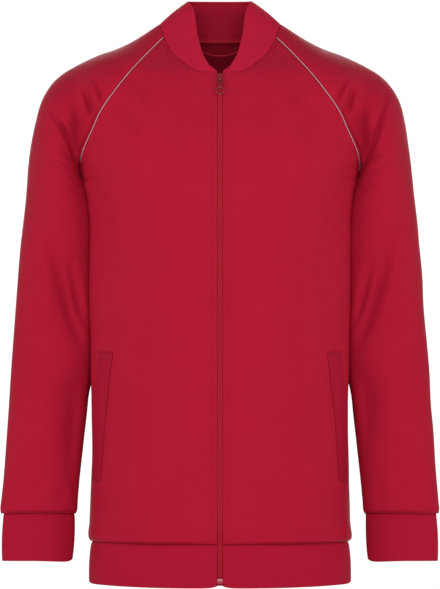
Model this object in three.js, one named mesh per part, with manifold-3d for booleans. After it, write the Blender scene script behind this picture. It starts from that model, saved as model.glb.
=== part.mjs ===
// A full-zip track jacket in size M with raglan sleeves, hollow and filled out as if it were worn.
// Millimetres, +Z up. The front faces -Y and +X is the wearer's left. The origin is the middle of
// the neck, level with the tops of the shoulders, where the wearer's shoulders carry the jacket.

import * as THREE from "three";
import { mergeVertices } from "three/addons/utils/BufferGeometryUtils.js";
import Module from "manifold-3d";

// Walls and gaps
const CLOTH_WALL = 1.5;
const RIB_WALL = 2.4;
const SEAM_GAP = 0.3;
const TAPE_WALL = 0.8;

// Roundness of the body's rings: 2 is an ellipse, more is squarer
const ROUNDNESS = 2.8;

// Heights
const ARMPIT_Z = -194;
const BODY_HEM_Z = -664;
const RIB_TOP_Z = -664.6;
const RIB_MIDDLE_Z = -690;
const RIB_BOTTOM_Z = -719;
const HEM_DIP = 5.5;
const HEM_DIP_REACH = 90;

// Zip
const FRONT_EDGE_X = 5;
const ZIP_TOP_Z = -57;
const COIL_WIDTH = 5;
const COIL_WALL = 2.4;
const COIL_RECESS = 0.6;
const COIL_TOP_Z = -63.5;
const COIL_BOTTOM_Z = -710.7;
const TAPE_EDGE_X = 2.8;
const TAPE_FAR_X = 15;
const TAPE_TOP_RECESS = 0.6;
const TAPE_GAP = 0.5;
const TAPE_EASING = 22;
const BOX_WIDTH = 8;
const BOX_HEIGHT = 8;
const BOX_DEPTH = 4;
const BOX_PROUD = 0.4;

// Mesh density: steps along and round each piece
const NECKLINE_ROWS = 6;
const SHOULDER_ROWS = 13;
const SLEEVE_ROWS = 17;
const SLEEVE_HALF_COLUMNS = 8;
const FRONT_COLUMNS = 14;
const BACK_COLUMNS = 24;
const COLLAR_ROWS = 3;
const HEM_COLUMNS = 40;
const CUFF_COLUMNS = 20;
const BODY_ROW_HEIGHTS = [
  -194, -222, -252, -284, -316, -348, -380, -412, -444, -476, -508, -540, -572, -604, -632, -651, -664,
];

const CLOTH = { color: "#ab1b32", roughness: 0.62 };
const RIB = { color: "#a61a31", roughness: 0.8 };
const GREY = { color: "#b9b6b8", roughness: 0.6 };
const ZIP_TAPE = { color: "#9d1926", roughness: 0.8 };
const ENAMEL = { color: "#a31828", roughness: 0.3, metalness: 0.3 };

// A table's first line names its columns, and each row after it becomes an object with those names.
function table(heading, ...rows) {
  const names = heading.split(" ");
  return rows.map((row) => Object.fromEntries(row.map((value, i) => [names[i], value])));
}

// Rings of the body. Above the armpit the front and the back each have their own side depth,
// because the raglan seams cut the rings off before they reach the side.
const BODY_RINGS = table(
  "z halfWidth front frontSide back backSide",
  [-3, 149.5, -20, 5, 30, -5],
  [-14, 151.5, -31, -8, 60, -15],
  [-30, 155, -50, -18, 74, -15],
  [-57, 160.5, -80, -38, 91, 15],
  [-79, 165, -91, -62, 100, 33],
  [-105, 170.5, -101, -63, 108, 38],
  [-125, 175.5, -109, -56, 113, 31],
  [-150, 181, -116, -39.5, 118, 18],
  [-172, 183.5, -121, -24, 119, 2],
  [-185, 181.8, -123.5, -5, 119, -2],
  [-194, 178, -125, 0, 118.5, 0],
  [-226, 171.3, -126, 0, 117, 0],
  [-262, 168.3, -124, 0, 113, 0],
  [-319, 167.2, -119, 0, 104, 0],
  [-380, 166.9, -114, 0, 98, 0],
  [-440, 166.2, -112, 0, 96, 0],
  [-485, 164.8, -112, 0, 98, 0],
  [-541, 165.6, -114, 0, 105, 0],
  [-588, 167.2, -116, 0, 112, 0],
  [-631, 168.8, -118.5, 0, 117.5, 0],
  [-652, 169.8, -120, 0, 119.5, 0],
  [-664, 168.8, -118.5, 0, 118, 0],
);

const HEM_RINGS = table(
  "z halfWidth front back",
  [-664, 167.2, -117.2, 116.8],
  [-690, 169.2, -117.6, 117.4],
  [-719, 170.4, -116.4, 116.6],
);

// Raglan seams, by station from the neck (0) to the armpit (10). Their depth lies on the body's rings.
const RAGLAN_SEAMS = table(
  "station frontX frontZ backX backZ",
  [0, 72.5, -8.3, 69, -3],
  [1, 94.5, -30.3, 90, -22],
  [2, 116.6, -54, 110, -46],
  [3, 135, -77, 128, -70],
  [4, 156, -107.5, 147, -101],
  [5, 166, -130, 158, -125],
  [6, 174, -147, 168, -144],
  [7, 180, -162, 175.5, -160],
  [8, 182, -174, 180, -173],
  [9, 180.4, -184.6, 180, -184.4],
  [10, 178, -194, 178, -194],
);

// Where the front panel's rows start: down the neckline to the zip's top (station 4), then down the zip.
const FRONT_STARTS = table(
  "station x z",
  [0, 71.6, -12.3],
  [1, 63.5, -26.5],
  [2, 49.8, -40],
  [3, 30, -52.5],
  [4, FRONT_EDGE_X, ZIP_TOP_Z],
  [5, FRONT_EDGE_X, -78],
  [6, FRONT_EDGE_X, -100],
  [7, FRONT_EDGE_X, -123],
  [8, FRONT_EDGE_X, -147],
  [9, FRONT_EDGE_X, -171],
  [10, FRONT_EDGE_X, ARMPIT_Z],
);

// How far the back panel's rows sag below their ends at the middle of the back.
const BACK_SAG = table("station sag", [0, 11], [1, 9], [2, 6], [4, 1.5], [6, 0], [10, 0]);

// The sleeve's outer ridge, the outline seen from the front, by station from the neck to the cuff.
const SLEEVE_RIDGE = table(
  "station x y z",
  [0, 78.5, 6, 7.5],
  [1, 113.5, 4, -14.6],
  [2, 137, 3, -25.6],
  [3, 156, 2, -32.3],
  [4, 186, 0, -46.5],
  [5, 208, 0, -60.3],
  [6, 221, 0, -73.5],
  [7, 234, 0, -96.2],
  [8, 241.8, 0, -127.4],
  [9, 245.6, 0, -151],
  [10, 248.3, 0, -172.6],
  [11, 252.6, 0, -213],
  [12, 256.8, 1, -255],
  [13, 262.2, 3, -318],
  [14, 267, 4, -380],
  [15, 271.4, 2, -441],
  [16, 273.7, -2, -481],
  [17, 278, -8, -535],
  [18, 281.3, -14, -585],
  [19, 284.8, -18, -622],
  [20, 283.4, -18, -631.5],
);

// How the shoulder curves from the raglan seams to the ridge: the direction in which it leaves the
// seam, in degrees forward of straight out, and how far it keeps the directions at its two ends.
const SHOULDER_CURVES = table(
  "station turn seamReach ridgeReach",
  [0, -35, 9, 9],
  [1, -28, 18, 20],
  [2, -15, 26, 30],
  [3, -3, 32, 38],
  [4, 8, 36, 46],
  [5, 20, 40, 52],
  [6, 33, 44, 58],
  [7, 46, 50, 64],
  [8, 60, 60, 74],
  [9, 76, 74, 84],
  [10, 90, 93.3, 93.3],
);

// The sleeve's underarm line and its depth from front to back, below the armpit.
const SLEEVE_INNER = table(
  "station x z depth",
  [10, 178, -194, 140],
  [11, 172.9, -226, 137],
  [12, 170.1, -262, 130],
  [13, 169, -319, 110],
  [14, 168.7, -380, 96],
  [15, 168.4, -441, 88],
  [16, 171.2, -481, 80],
  [17, 177, -535, 71],
  [18, 182.5, -585, 63],
  [19, 186, -622, 57],
  [20, 188.4, -631.5, 41],
);

// Cuffs: their rings, their rows, and the inner lower corner, which is round
const CUFF_RINGS = table(
  "z outerX innerX depth y",
  [-631.8, 282.8, 189.2, 38, -18],
  [-660, 283.4, 190.8, 37, -18.5],
  [-690, 283, 192.7, 35, -19],
);
const CUFF_BOTTOM_Z = -690;
const CUFF_ROW_HEIGHTS = [-631.8, -645, -668, CUFF_BOTTOM_Z];
const CUFF_CORNER = { lift: 5, power: 8, droop: 1.5 };

// The hem band's lower corners at the zip are lifted, less and less within this reach
const HEM_CORNER = { lift: 3, reach: 6 };

// The collar, from the middle of the back (0) to its front end (1): the top edge of its band.
const COLLAR_TOP = table(
  "along x y z",
  [0, 0, 47, 37.5],
  [0.17, 22, 43.5, 37.5],
  [0.33, 37, 32, 37.5],
  [0.45, 41.6, 13, 37.3],
  [0.53, 39.6, -4, 35.8],
  [0.59, 35.2, -18, 28],
  [0.65, 32, -29, 14],
  [0.72, 29.8, -41, -3],
  [0.79, 26.6, -53, -17],
  [0.87, 21, -64, -31],
  [0.94, 14, -73, -43],
  [1, 7, -79.5, -53],
);

// Large folds. Each is a soft trough (depth below 0) or ridge between two points seen from the front,
// as far from the middle as x says, bowed sideways in its middle.
const FOLD_COLUMNS = "fromX fromZ toX toZ bow width depth";
const FRONT_FOLDS = {
  right: table(
    FOLD_COLUMNS,
    [129, -92, 113, -129, 0, 11, -4],
    [110, -61, 91, -95, 0, 10, -3],
    [150, -310, 149, -395, 0, 14, 3],
    [125, -640, 70, -615, 0, 12, -2.5],
  ),
  left: table(
    FOLD_COLUMNS,
    [127, -89, 111, -129, 0, 11, -4],
    [105, -64, 90, -96, 0, 10, -3],
    [152, -300, 148, -380, 0, 14, 2.5],
    [118, -645, 60, -620, 0, 12, -2.5],
  ),
};
const SLEEVE_FOLDS = {
  right: table(
    FOLD_COLUMNS,
    [223, -100, 186, -166, 0, 11, -8],
    [192, -78, 189, -140, 0, 14, -6],
    [226, -281, 191, -405, 5, 13, -7],
    [198, -340, 178, -402, 0, 11, 3],
    [202, -468, 180, -486, 0, 13, -6],
    [184, -546, 196, -600, 0, 11, -6],
  ),
  left: table(
    FOLD_COLUMNS,
    [215, -76, 187, -172, 8, 11, -8],
    [182, -80, 189, -140, 0, 14, -6],
    [213, -340, 186, -412, 0, 13, -7],
    [231, -262, 218, -310, 0, 12, -5],
    [213, -460, 180, -520, 0, 15, -6],
    [182, -546, 194, -598, 0, 11, -6],
  ),
};
const SLEEVE_BACK_FOLDS = {
  right: table(
    FOLD_COLUMNS,
    [226, -110, 190, -170, 3, 11, -6],
    [240, -300, 196, -372, 5, 13, -7],
    [236, -350, 190, -425, 4, 13, -6],
    [205, -470, 186, -512, 0, 12, -5],
  ),
  left: table(
    FOLD_COLUMNS,
    [220, -96, 188, -168, 5, 11, -6],
    [243, -318, 200, -380, 4, 13, -6],
    [232, -362, 188, -440, 4, 13, -7],
    [208, -486, 186, -530, 0, 12, -5],
  ),
};
const BACK_FOLDS = {
  right: table(
    FOLD_COLUMNS,
    [150, -190, 96, -262, 6, 13, -4],
    [140, -120, 118, -176, 0, 11, -4],
    [140, -440, 40, -470, 5, 15, -3],
    [120, -640, 60, -600, 0, 13, -2.5],
  ),
  left: table(
    FOLD_COLUMNS,
    [152, -200, 104, -285, 6, 13, -4],
    [138, -112, 120, -168, 0, 11, -4],
    [130, -470, 30, -440, 5, 15, -3],
    [126, -645, 70, -612, 0, 13, -2.5],
  ),
};
const FOLD_EDGE_FADE = 14;
const ARM_CONTACT_FADE = 18;

// Pocket welts on the fronts: corners seen from the front
const WELT = {
  topX: 138.3,
  topWideX: 153.1,
  topZ: -418.5,
  bottomX: 151.5,
  bottomWideX: 163.4,
  bottomZ: -586.5,
  topSlant: 1.6,
};
const WELT_WALL = 1.2;
const WELT_GAP = 0.5;
const WELT_ROWS = 10;
const WELT_COLUMNS = 3;

// Piping, neck tape and hanger loop
const PIPING_RADIUS = 0.9;
const PIPING_SIDES = 6;
const PIPING_GAP = 0.5;
const PIPING_ROWS = SHOULDER_ROWS - 1;
const NECK_TAPE_HEIGHT = 5;
const NECK_TAPE_INSET = 3.2;
const NECK_TAPE_LEAN = 0.3;
const NECK_TAPE_POINTS = 9;
const LOOP_HALF_WIDTH = 44;
const LOOP_DROP = 22;
const LOOP_RADIUS = 1.2;
const LOOP_STEPS = 12;
const LOOP_FULLNESS = 2.4;

// The collar stands this far above the neckline, and its band swells this much
const COLLAR_LIFT = 0.55;
const COLLAR_BELLY = 2.2;

// Slider and pull, in a frame that leans with the zip: x across, y into the jacket, z up the zip
const SLIDER = {
  halfWidth: 4.4,
  top: 9.5,
  bottom: -5.5,
  platePlane: -1.2,
  plateBack: 0.25,
  rearFront: 3.5,
  rearBack: 4.7,
  bridgeBottom: 5.2,
};
const CROWN = { halfWidth: 1.1, halfHeight: 2.5, reach: -4.9, holeHalfHeight: 1.35, holeReach: -3.8 };
const PULL = {
  pivotY: -2.5,
  thickness: 1.4,
  barHalf: 0.75,
  frameHalfWidth: 3.1,
  windowHalfWidth: 1.9,
  windowLength: 5.4,
  stemHalfWidth: 1.7,
  ringCentre: -16.4,
  ringRadius: 6,
  holeRadius: 3.4,
};
const SLIDER_Z = -66;

const HALF_TURN = Math.PI;
const SIDES = ["right", "left"];
const sideSign = (side) => (side === "left" ? 1 : -1);
const clamp = (value, low, high) => Math.min(high, Math.max(low, value));
const mix = (from, to, share) => from + (to - from) * share;
const smoothStep = (value) => {
  const share = clamp(value, 0, 1);
  return share * share * (3 - 2 * share);
};

// A smooth curve through the rows of a table that never overshoots them (monotone cubics).
function smoothCurve(xs, ys) {
  const count = xs.length;
  const slopes = xs.slice(1).map((x, i) => (ys[i + 1] - ys[i]) / (x - xs[i]));
  const tangents = ys.map((_, i) => {
    if (i === 0) return slopes[0];
    if (i === count - 1) return slopes[count - 2];
    const before = slopes[i - 1];
    const after = slopes[i];
    return before * after <= 0 ? 0 : (2 * before * after) / (before + after);
  });
  return (x) => {
    let i = 0;
    while (i < count - 2 && x > xs[i + 1]) i += 1;
    const step = xs[i + 1] - xs[i];
    const t = clamp((x - xs[i]) / step, 0, 1);
    const rise = ys[i + 1] - ys[i];
    const a = tangents[i] * step;
    const b = tangents[i + 1] * step;
    return ys[i] + t * (a + t * (3 * rise - 2 * a - b + t * (a + b - 2 * rise)));
  };
}

// One smooth curve for each column of a table, as functions of its key column.
function curvesOf(rows, key) {
  const sorted = [...rows].sort((a, b) => a[key] - b[key]);
  const keys = sorted.map((row) => row[key]);
  const names = Object.keys(rows[0]).filter((name) => name !== key);
  return Object.fromEntries(names.map((name) => [name, smoothCurve(keys, sorted.map((row) => row[name]))]));
}

const body = curvesOf(BODY_RINGS, "z");
const hem = curvesOf(HEM_RINGS, "z");
const seams = curvesOf(RAGLAN_SEAMS, "station");
const starts = curvesOf(FRONT_STARTS, "station");
const backSag = curvesOf(BACK_SAG, "station");
const ridge = curvesOf(SLEEVE_RIDGE, "station");
const shoulder = curvesOf(SHOULDER_CURVES, "station");
const inner = curvesOf(SLEEVE_INNER, "station");
const cuff = curvesOf(CUFF_RINGS, "z");
const collarTop = curvesOf(COLLAR_TOP, "along");

const vector = (x, y, z) => new THREE.Vector3(x, y, z);
const spread = (count, from = 0, to = 1) =>
  Array.from({ length: count + 1 }, (_, i) => mix(from, to, i / count));

// The point of the body at an angle from the middle of the front or the back (0) to the side (90 degrees).
function bodyPoint(half, angle, z) {
  const power = 2 / ROUNDNESS;
  const side = body[`${half}Side`](z);
  const x = body.halfWidth(z) * Math.sin(angle) ** power;
  const y = side + (body[half](z) - side) * Math.max(0, Math.cos(angle)) ** power;
  return vector(x, y, z);
}

// The angle at which the body is a given distance from the middle.
function bodyAngle(x, z) {
  return Math.asin(clamp(x / body.halfWidth(z), 0, 1) ** (ROUNDNESS / 2));
}

function seamPoint(half, station) {
  const x = seams[`${half}X`](station);
  const z = seams[`${half}Z`](station);
  return bodyPoint(half, bodyAngle(x, z), z);
}

// How far the cloth's lower rows hang below their ends at the middle of the front and the back.
function hemDip(angle, z) {
  const near = smoothStep((BODY_HEM_Z + HEM_DIP_REACH - z) / HEM_DIP_REACH);
  return -HEM_DIP * near * Math.cos(angle) ** 2;
}

// The stations that cut a curve into even lengths.
function evenStations(pointAt, from, to, count, samples = 200) {
  const places = spread(samples, from, to);
  const lengths = [0];
  for (let i = 1; i <= samples; i += 1)
    lengths.push(lengths[i - 1] + pointAt(places[i]).distanceTo(pointAt(places[i - 1])));
  return spread(count, 0, lengths[samples]).map((length) => {
    let i = 1;
    while (i < samples && lengths[i] < length) i += 1;
    const share = (length - lengths[i - 1]) / (lengths[i] - lengths[i - 1]);
    return mix(places[i - 1], places[i], clamp(share, 0, 1));
  });
}

// The depth of the folds of a list at a point seen from the front: each is a bell-shaped groove
// along its line, deepest in the middle and running out at both ends.
function foldDepth(folds, x, z) {
  let depth = 0;
  for (const fold of folds) {
    const alongX = fold.toX - fold.fromX;
    const alongZ = fold.toZ - fold.fromZ;
    const length = Math.hypot(alongX, alongZ);
    const along = ((x - fold.fromX) * alongX + (z - fold.fromZ) * alongZ) / length ** 2;
    if (along < 0 || along > 1) continue;
    const bow = fold.bow * 4 * along * (1 - along);
    const across = ((x - fold.fromX) * alongZ - (z - fold.fromZ) * alongX) / length - bow;
    depth += fold.depth * Math.sin(HALF_TURN * along) ** 0.7 * Math.exp(-((across / fold.width) ** 2));
  }
  return depth;
}

// A surface is a grid of points with a normal and a wall thickness at each.
// Rows from closedFrom on are rings, whose last point is their first. Its normals face away from
// the body's axis or, on a tube, from the middle of each row.
function surface(points, thickness, closedFrom = Infinity) {
  const normals = gridNormals(points, closedFrom);
  return {
    points,
    normals,
    closedFrom,
    depths: points.map((row) => row.map(() => thickness)),
  };
}

function rowMiddle(row) {
  const sum = row.reduce((total, point) => total.add(point), vector(0, 0, 0));
  return sum.divideScalar(row.length);
}

function gridNormals(points, closedFrom) {
  const lastColumn = points[0].length - 1;
  const isTube = closedFrom < points.length;
  let facing = 0;
  const normals = points.map((row, i) =>
    row.map((point, j) => {
      const closed = i >= closedFrom;
      const left = j > 0 ? row[j - 1] : closed ? row[lastColumn - 1] : point;
      const right = j < lastColumn ? row[j + 1] : closed ? row[1] : point;
      const above = points[Math.max(0, i - 1)][j];
      const below = points[Math.min(points.length - 1, i + 1)][j];
      const normal = right.clone().sub(left).cross(below.clone().sub(above)).normalize();
      const inside = isTube ? rowMiddle(row) : vector(0, 0, point.z);
      facing += normal.dot(point.clone().sub(inside));
      return normal;
    }),
  );
  if (facing < 0) normals.flat().forEach((normal) => normal.negate());
  return normals;
}

// Moves each point of a surface along its normal by what offsetAt says.
function raise(cloth, offsetAt) {
  cloth.points.forEach((row, i) =>
    row.forEach((point, j) => point.addScaledVector(cloth.normals[i][j], offsetAt(point, i, j))),
  );
  cloth.normals = gridNormals(cloth.points, cloth.closedFrom);
  return cloth;
}

// Joins two cloths along a seam. Each edge is a list of [row, column, column step into the cloth].
// Both get the seam's middle normal, so their walls meet in a mitre, and they part by the gap.
function joinSeam(first, second, firstEdge, secondEdge) {
  firstEdge.forEach(([i, j, step], k) => {
    const [m, n, otherStep] = secondEdge[k];
    const inFirst = first.points[i][j + step].clone().sub(first.points[i][j]).normalize();
    const inSecond = second.points[m][n + otherStep].clone().sub(second.points[m][n]).normalize();
    const crease = Math.max(0, inFirst.dot(inSecond));
    const middle = first.normals[i][j].clone().add(second.normals[m][n]);
    middle.addScaledVector(inFirst.clone().add(inSecond), crease).normalize();
    for (const [cloth, row, column, into] of [
      [first, i, j, inFirst],
      [second, m, n, inSecond],
    ]) {
      const away = into.multiplyScalar(1 - crease).addScaledVector(cloth.normals[row][column], -crease);
      cloth.points[row][column].addScaledVector(away.normalize(), SEAM_GAP * (0.6 + 0.3 * crease));
      cloth.depths[row][column] = CLOTH_WALL / Math.max(0.6, middle.dot(cloth.normals[row][column]));
      cloth.normals[row][column] = middle.clone();
    }
  });
}

// At the armpit four seams meet in a crotch that opens downwards: there a body panel's corner keeps
// clear of the other panel's, and its wall stands straight up.
function closeArmpit(cloth, column, direction) {
  cloth.points[SHOULDER_ROWS][column].y += direction * SEAM_GAP;
  cloth.normals[SHOULDER_ROWS][column] = vector(0, 0, -1);
}

// Turns a surface into a closed wall: the outer grid, an inner grid one thickness behind it, and rims.
function wall({ points, normals, depths, closedFrom }) {
  const rows = points.length;
  const columns = points[0].length;
  const place = (i, j) => i * columns + (j === columns - 1 && i >= closedFrom ? 0 : j);
  const behind = rows * columns;
  const positions = [];
  for (const scale of [0, 1])
    points.forEach((row, i) =>
      row.forEach((point, j) => {
        const end = point.clone().addScaledVector(normals[i][j], -depths[i][j] * scale);
        positions.push(end.x, end.y, end.z);
      }),
    );
  const faces = [];
  const quad = (a, b, c, d) => faces.push(a, b, c, a, c, d);
  for (let i = 0; i < rows - 1; i += 1)
    for (let j = 0; j < columns - 1; j += 1) {
      const corners = [place(i, j), place(i, j + 1), place(i + 1, j + 1), place(i + 1, j)];
      const first = points[i][j].distanceTo(points[i + 1][j + 1]);
      const second = points[i][j + 1].distanceTo(points[i + 1][j]);
      if (second < first) corners.push(corners.shift());
      quad(...corners);
      quad(...corners.map((corner) => corner + behind).reverse().map((_, k, all) => all[(k + 2) % 4]));
    }
  for (let j = 0; j < columns - 1; j += 1) {
    quad(place(0, j), place(0, j) + behind, place(0, j + 1) + behind, place(0, j + 1));
    const last = rows - 1;
    quad(place(last, j + 1), place(last, j + 1) + behind, place(last, j) + behind, place(last, j));
  }
  for (let i = 0; i < Math.min(rows - 1, closedFrom); i += 1) {
    const right = columns - 1;
    quad(place(i + 1, 0), place(i + 1, 0) + behind, place(i, 0) + behind, place(i, 0));
    quad(place(i, right), place(i, right) + behind, place(i + 1, right) + behind, place(i + 1, right));
  }
  return closedGeometry(positions, faces);
}

// A geometry from positions and faces, turned so that its faces point out.
function closedGeometry(positions, faces) {
  const corner = (index) => vector(...positions.slice(index * 3, index * 3 + 3));
  let volume = 0;
  for (let i = 0; i < faces.length; i += 3)
    volume += corner(faces[i]).dot(corner(faces[i + 1]).cross(corner(faces[i + 2])));
  if (volume < 0)
    for (let i = 0; i < faces.length; i += 3)
      [faces[i + 1], faces[i + 2]] = [faces[i + 2], faces[i + 1]];
  const geometry = new THREE.BufferGeometry();
  geometry.setAttribute("position", new THREE.Float32BufferAttribute(positions, 3));
  geometry.setIndex(faces);
  return geometry;
}

// A round cord along points, each with its own frame from the direction of its neighbours.
function cord(points, radius, sides) {
  const positions = [];
  const faces = [];
  points.forEach((point, i) => {
    const along = points[Math.min(points.length - 1, i + 1)].clone().sub(points[Math.max(0, i - 1)]);
    along.normalize();
    const across = vector(0, 1, 0).cross(along).normalize();
    const up = along.clone().cross(across);
    for (let k = 0; k < sides; k += 1) {
      const angle = (2 * HALF_TURN * (k + 0.5)) / sides;
      const rim = point.clone().addScaledVector(across, radius * Math.cos(angle));
      rim.addScaledVector(up, radius * Math.sin(angle));
      positions.push(rim.x, rim.y, rim.z);
    }
  });
  const last = (points.length - 1) * sides;
  for (let i = 0; i < points.length - 1; i += 1)
    for (let k = 0; k < sides; k += 1) {
      const a = i * sides + k;
      const b = i * sides + ((k + 1) % sides);
      faces.push(a, b, b + sides, a, b + sides, a + sides);
    }
  for (let k = 1; k < sides - 1; k += 1) {
    faces.push(0, k + 1, k);
    faces.push(last, last + k, last + k + 1);
  }
  return closedGeometry(positions, faces);
}

// A part between two ends of a curve that starts and arrives in given directions.
function halfSection(from, fromDirection, fromReach, to, toDirection, toReach, columns) {
  const curve = new THREE.CubicBezierCurve3(
    from,
    from.clone().addScaledVector(fromDirection, fromReach),
    to.clone().addScaledVector(toDirection, toReach),
    to,
  );
  return evenStations((t) => curve.getPoint(t), 0, 1, columns, 60).map((t) => curve.getPoint(t));
}

// One row of the sleeve, from the front seam over the ridge to the back seam. Below the armpit
// both seams are the underarm line and the row is a ring.
function sleeveRow(station, columns) {
  const top = vector(ridge.x(station), ridge.y(station), ridge.z(station));
  const open = station < 10;
  const low = vector(inner.x(station), top.y, inner.z(station));
  const frontSeam = open ? seamPoint("front", station) : low;
  const backSeam = open ? seamPoint("back", station) : low;
  const outward = top.clone().sub(frontSeam.clone().add(backSeam).multiplyScalar(0.5));
  outward.y = 0;
  outward.normalize();
  const turn = open ? THREE.MathUtils.degToRad(shoulder.turn(station)) : HALF_TURN / 2;
  const ringReach = inner.depth(station) / 1.5;
  const seamReach = open ? shoulder.seamReach(station) : ringReach;
  const ridgeReach = open ? shoulder.ridgeReach(station) : ringReach;
  const halves = [
    [frontSeam, -1],
    [backSeam, 1],
  ].map(([seam, forward]) => {
    const leave = outward.clone().multiplyScalar(Math.cos(turn));
    leave.y = forward * Math.sin(turn);
    return halfSection(seam, leave, seamReach, top, vector(0, forward, 0), ridgeReach, columns);
  });
  return [...halves[0], ...halves[1].reverse().slice(1)];
}

// The sleeve's stations: even along the ridge, above and below the armpit.
const ridgePoint = (station) => vector(ridge.x(station), ridge.y(station), ridge.z(station));
const ZIP_STATION = 4;
const SHOULDER_STATIONS = [
  ...spread(NECKLINE_ROWS, 0, ZIP_STATION),
  ...spread(SHOULDER_ROWS - NECKLINE_ROWS, ZIP_STATION, 10).slice(1),
];
const LOWER_STATIONS = evenStations(ridgePoint, 10, 19, SLEEVE_ROWS - 2).slice(1);
const SLEEVE_STATIONS = [...SHOULDER_STATIONS, ...LOWER_STATIONS, 19.6, 20];

const mirrored = (rows, sign) => rows.map((row) => row.map((p) => vector(p.x * sign, p.y, p.z)));

function sleeveSurface(side) {
  const rows = SLEEVE_STATIONS.map((station) => sleeveRow(station, SLEEVE_HALF_COLUMNS));
  const cloth = surface(mirrored(rows, sideSign(side)), CLOTH_WALL, SHOULDER_ROWS);
  const middle = SLEEVE_HALF_COLUMNS;
  return raise(cloth, (point, i, j) => {
    const folds = j < middle ? SLEEVE_FOLDS[side] : SLEEVE_BACK_FOLDS[side];
    const fromRidge = smoothStep(Math.abs(j - middle) / 2);
    const fromSeam = i < SHOULDER_ROWS ? smoothStep((middle - Math.abs(j - middle)) / 1.5) : 1;
    const x = Math.abs(point.x);
    const fromBody = smoothStep((x - inner.x(SLEEVE_STATIONS[i])) / ARM_CONTACT_FADE);
    return foldDepth(folds, x, point.z) * fromRidge * fromSeam * (i < SHOULDER_ROWS ? 1 : fromBody);
  });
}

// One row of a body panel between two angles, with its height going evenly from one end to the other.
function bodyRow(half, startAngle, startZ, endAngle, endZ, columns, sag = 0) {
  return spread(columns).map((share) => {
    const angle = mix(startAngle, endAngle, share);
    const z = mix(startZ, endZ, share);
    const point = bodyPoint(half, Math.abs(angle), z - sag * (1 - (2 * share - 1) ** 2));
    point.x *= Math.sign(angle) || 1;
    point.z += hemDip(angle, z);
    return point;
  });
}

// How far a panel's fold may come near its hem.
const hemFade = (point) => smoothStep((point.z - BODY_HEM_Z) / FOLD_EDGE_FADE);

function frontSurface(side) {
  const rows = SHOULDER_STATIONS.map((station) => {
    const z = starts.z(station);
    const endX = seams.frontX(station);
    const endZ = seams.frontZ(station);
    const startAngle = bodyAngle(starts.x(station), z);
    return bodyRow("front", startAngle, z, bodyAngle(endX, endZ), endZ, FRONT_COLUMNS);
  });
  for (const z of BODY_ROW_HEIGHTS.slice(1))
    rows.push(bodyRow("front", bodyAngle(FRONT_EDGE_X, z), z, HALF_TURN / 2, z, FRONT_COLUMNS));
  const cloth = surface(mirrored(rows, sideSign(side)), CLOTH_WALL);
  return raise(cloth, (point, i, j) => {
    const fade = smoothStep(j / 2) * smoothStep((FRONT_COLUMNS - j) / 1.5) * hemFade(point);
    return foldDepth(FRONT_FOLDS[side], Math.abs(point.x), point.z) * fade;
  });
}

function backSurface() {
  const rows = SHOULDER_STATIONS.map((station) => {
    const z = seams.backZ(station);
    const angle = bodyAngle(seams.backX(station), z);
    return bodyRow("back", -angle, z, angle, z, BACK_COLUMNS, backSag.sag(station));
  });
  const quarter = HALF_TURN / 2;
  for (const z of BODY_ROW_HEIGHTS.slice(1))
    rows.push(bodyRow("back", -quarter, z, quarter, z, BACK_COLUMNS));
  return raise(surface(rows, CLOTH_WALL), (point, i, j) => {
    const folds = point.x > 0 ? BACK_FOLDS.left : BACK_FOLDS.right;
    const fade = smoothStep(Math.min(j, BACK_COLUMNS - j) / 1.5) * hemFade(point);
    return foldDepth(folds, Math.abs(point.x), point.z) * fade;
  });
}

// The hem band: rows round the back from one front edge to the other.
function hemBandSurface() {
  const heights = [RIB_TOP_Z, RIB_MIDDLE_Z, RIB_BOTTOM_Z];
  const power = 2 / ROUNDNESS;
  const rows = heights.map((z) => {
    const start = Math.asin((FRONT_EDGE_X / hem.halfWidth(z)) ** (ROUNDNESS / 2));
    return spread(HEM_COLUMNS, start, 2 * HALF_TURN - start).map((angle) => {
      const across = Math.sin(angle);
      const depth = Math.cos(angle);
      const reach = depth > 0 ? hem.front(z) : hem.back(z);
      const x = Math.sign(across) * hem.halfWidth(z) * Math.abs(across) ** power;
      const fromEdge = (Math.abs(x) - FRONT_EDGE_X) / HEM_CORNER.reach;
      const isCorner = z === RIB_BOTTOM_Z && depth > 0;
      const lift = isCorner ? HEM_CORNER.lift * Math.exp(-fromEdge) : 0;
      return vector(x, reach * Math.abs(depth) ** power, z - HEM_DIP * depth ** 2 + lift);
    });
  });
  return surface(rows, RIB_WALL);
}

// A cuff: rings that are flattened ellipses.
function cuffSurface(side) {
  const rows = CUFF_ROW_HEIGHTS.map((z) => {
    const centreX = (cuff.outerX(z) + cuff.innerX(z)) / 2;
    const halfX = (cuff.outerX(z) - cuff.innerX(z)) / 2;
    return spread(CUFF_COLUMNS, 0, 2 * HALF_TURN).map((angle) => {
      const x = centreX + halfX * Math.cos(angle);
      const y = cuff.y(z) + (cuff.depth(z) / 2) * Math.sin(angle);
      const inward = z === CUFF_BOTTOM_Z ? Math.max(0, -Math.cos(angle)) : 0;
      return vector(x, y, z + CUFF_CORNER.lift * inward ** CUFF_CORNER.power - CUFF_CORNER.droop * inward);
    });
  });
  rows.forEach((row) => {
    row[CUFF_COLUMNS] = row[0];
  });
  return surface(mirrored(rows, sideSign(side)), RIB_WALL, 0);
}

// The neckline that the collar stands on, from the middle of the back to the zip's top. It runs
// through the corners of the cloths' own top edges, so that the collar meets them all the way.
function necklinePoints(back, sleeve, front) {
  const rightHalf = (row) => row.filter((point) => point.x > -0.01);
  const backEdge = rightHalf(back.points[0]);
  const shoulderEdge = [...sleeve.points[0]].reverse().filter((_, i) => i % 2 === 0);
  const frontEdge = front.points.slice(0, NECKLINE_ROWS + 1).map((row) => row[0]);
  return [...backEdge, ...shoulderEdge.slice(1, -1), ...frontEdge].map((point) => point.clone());
}

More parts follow.
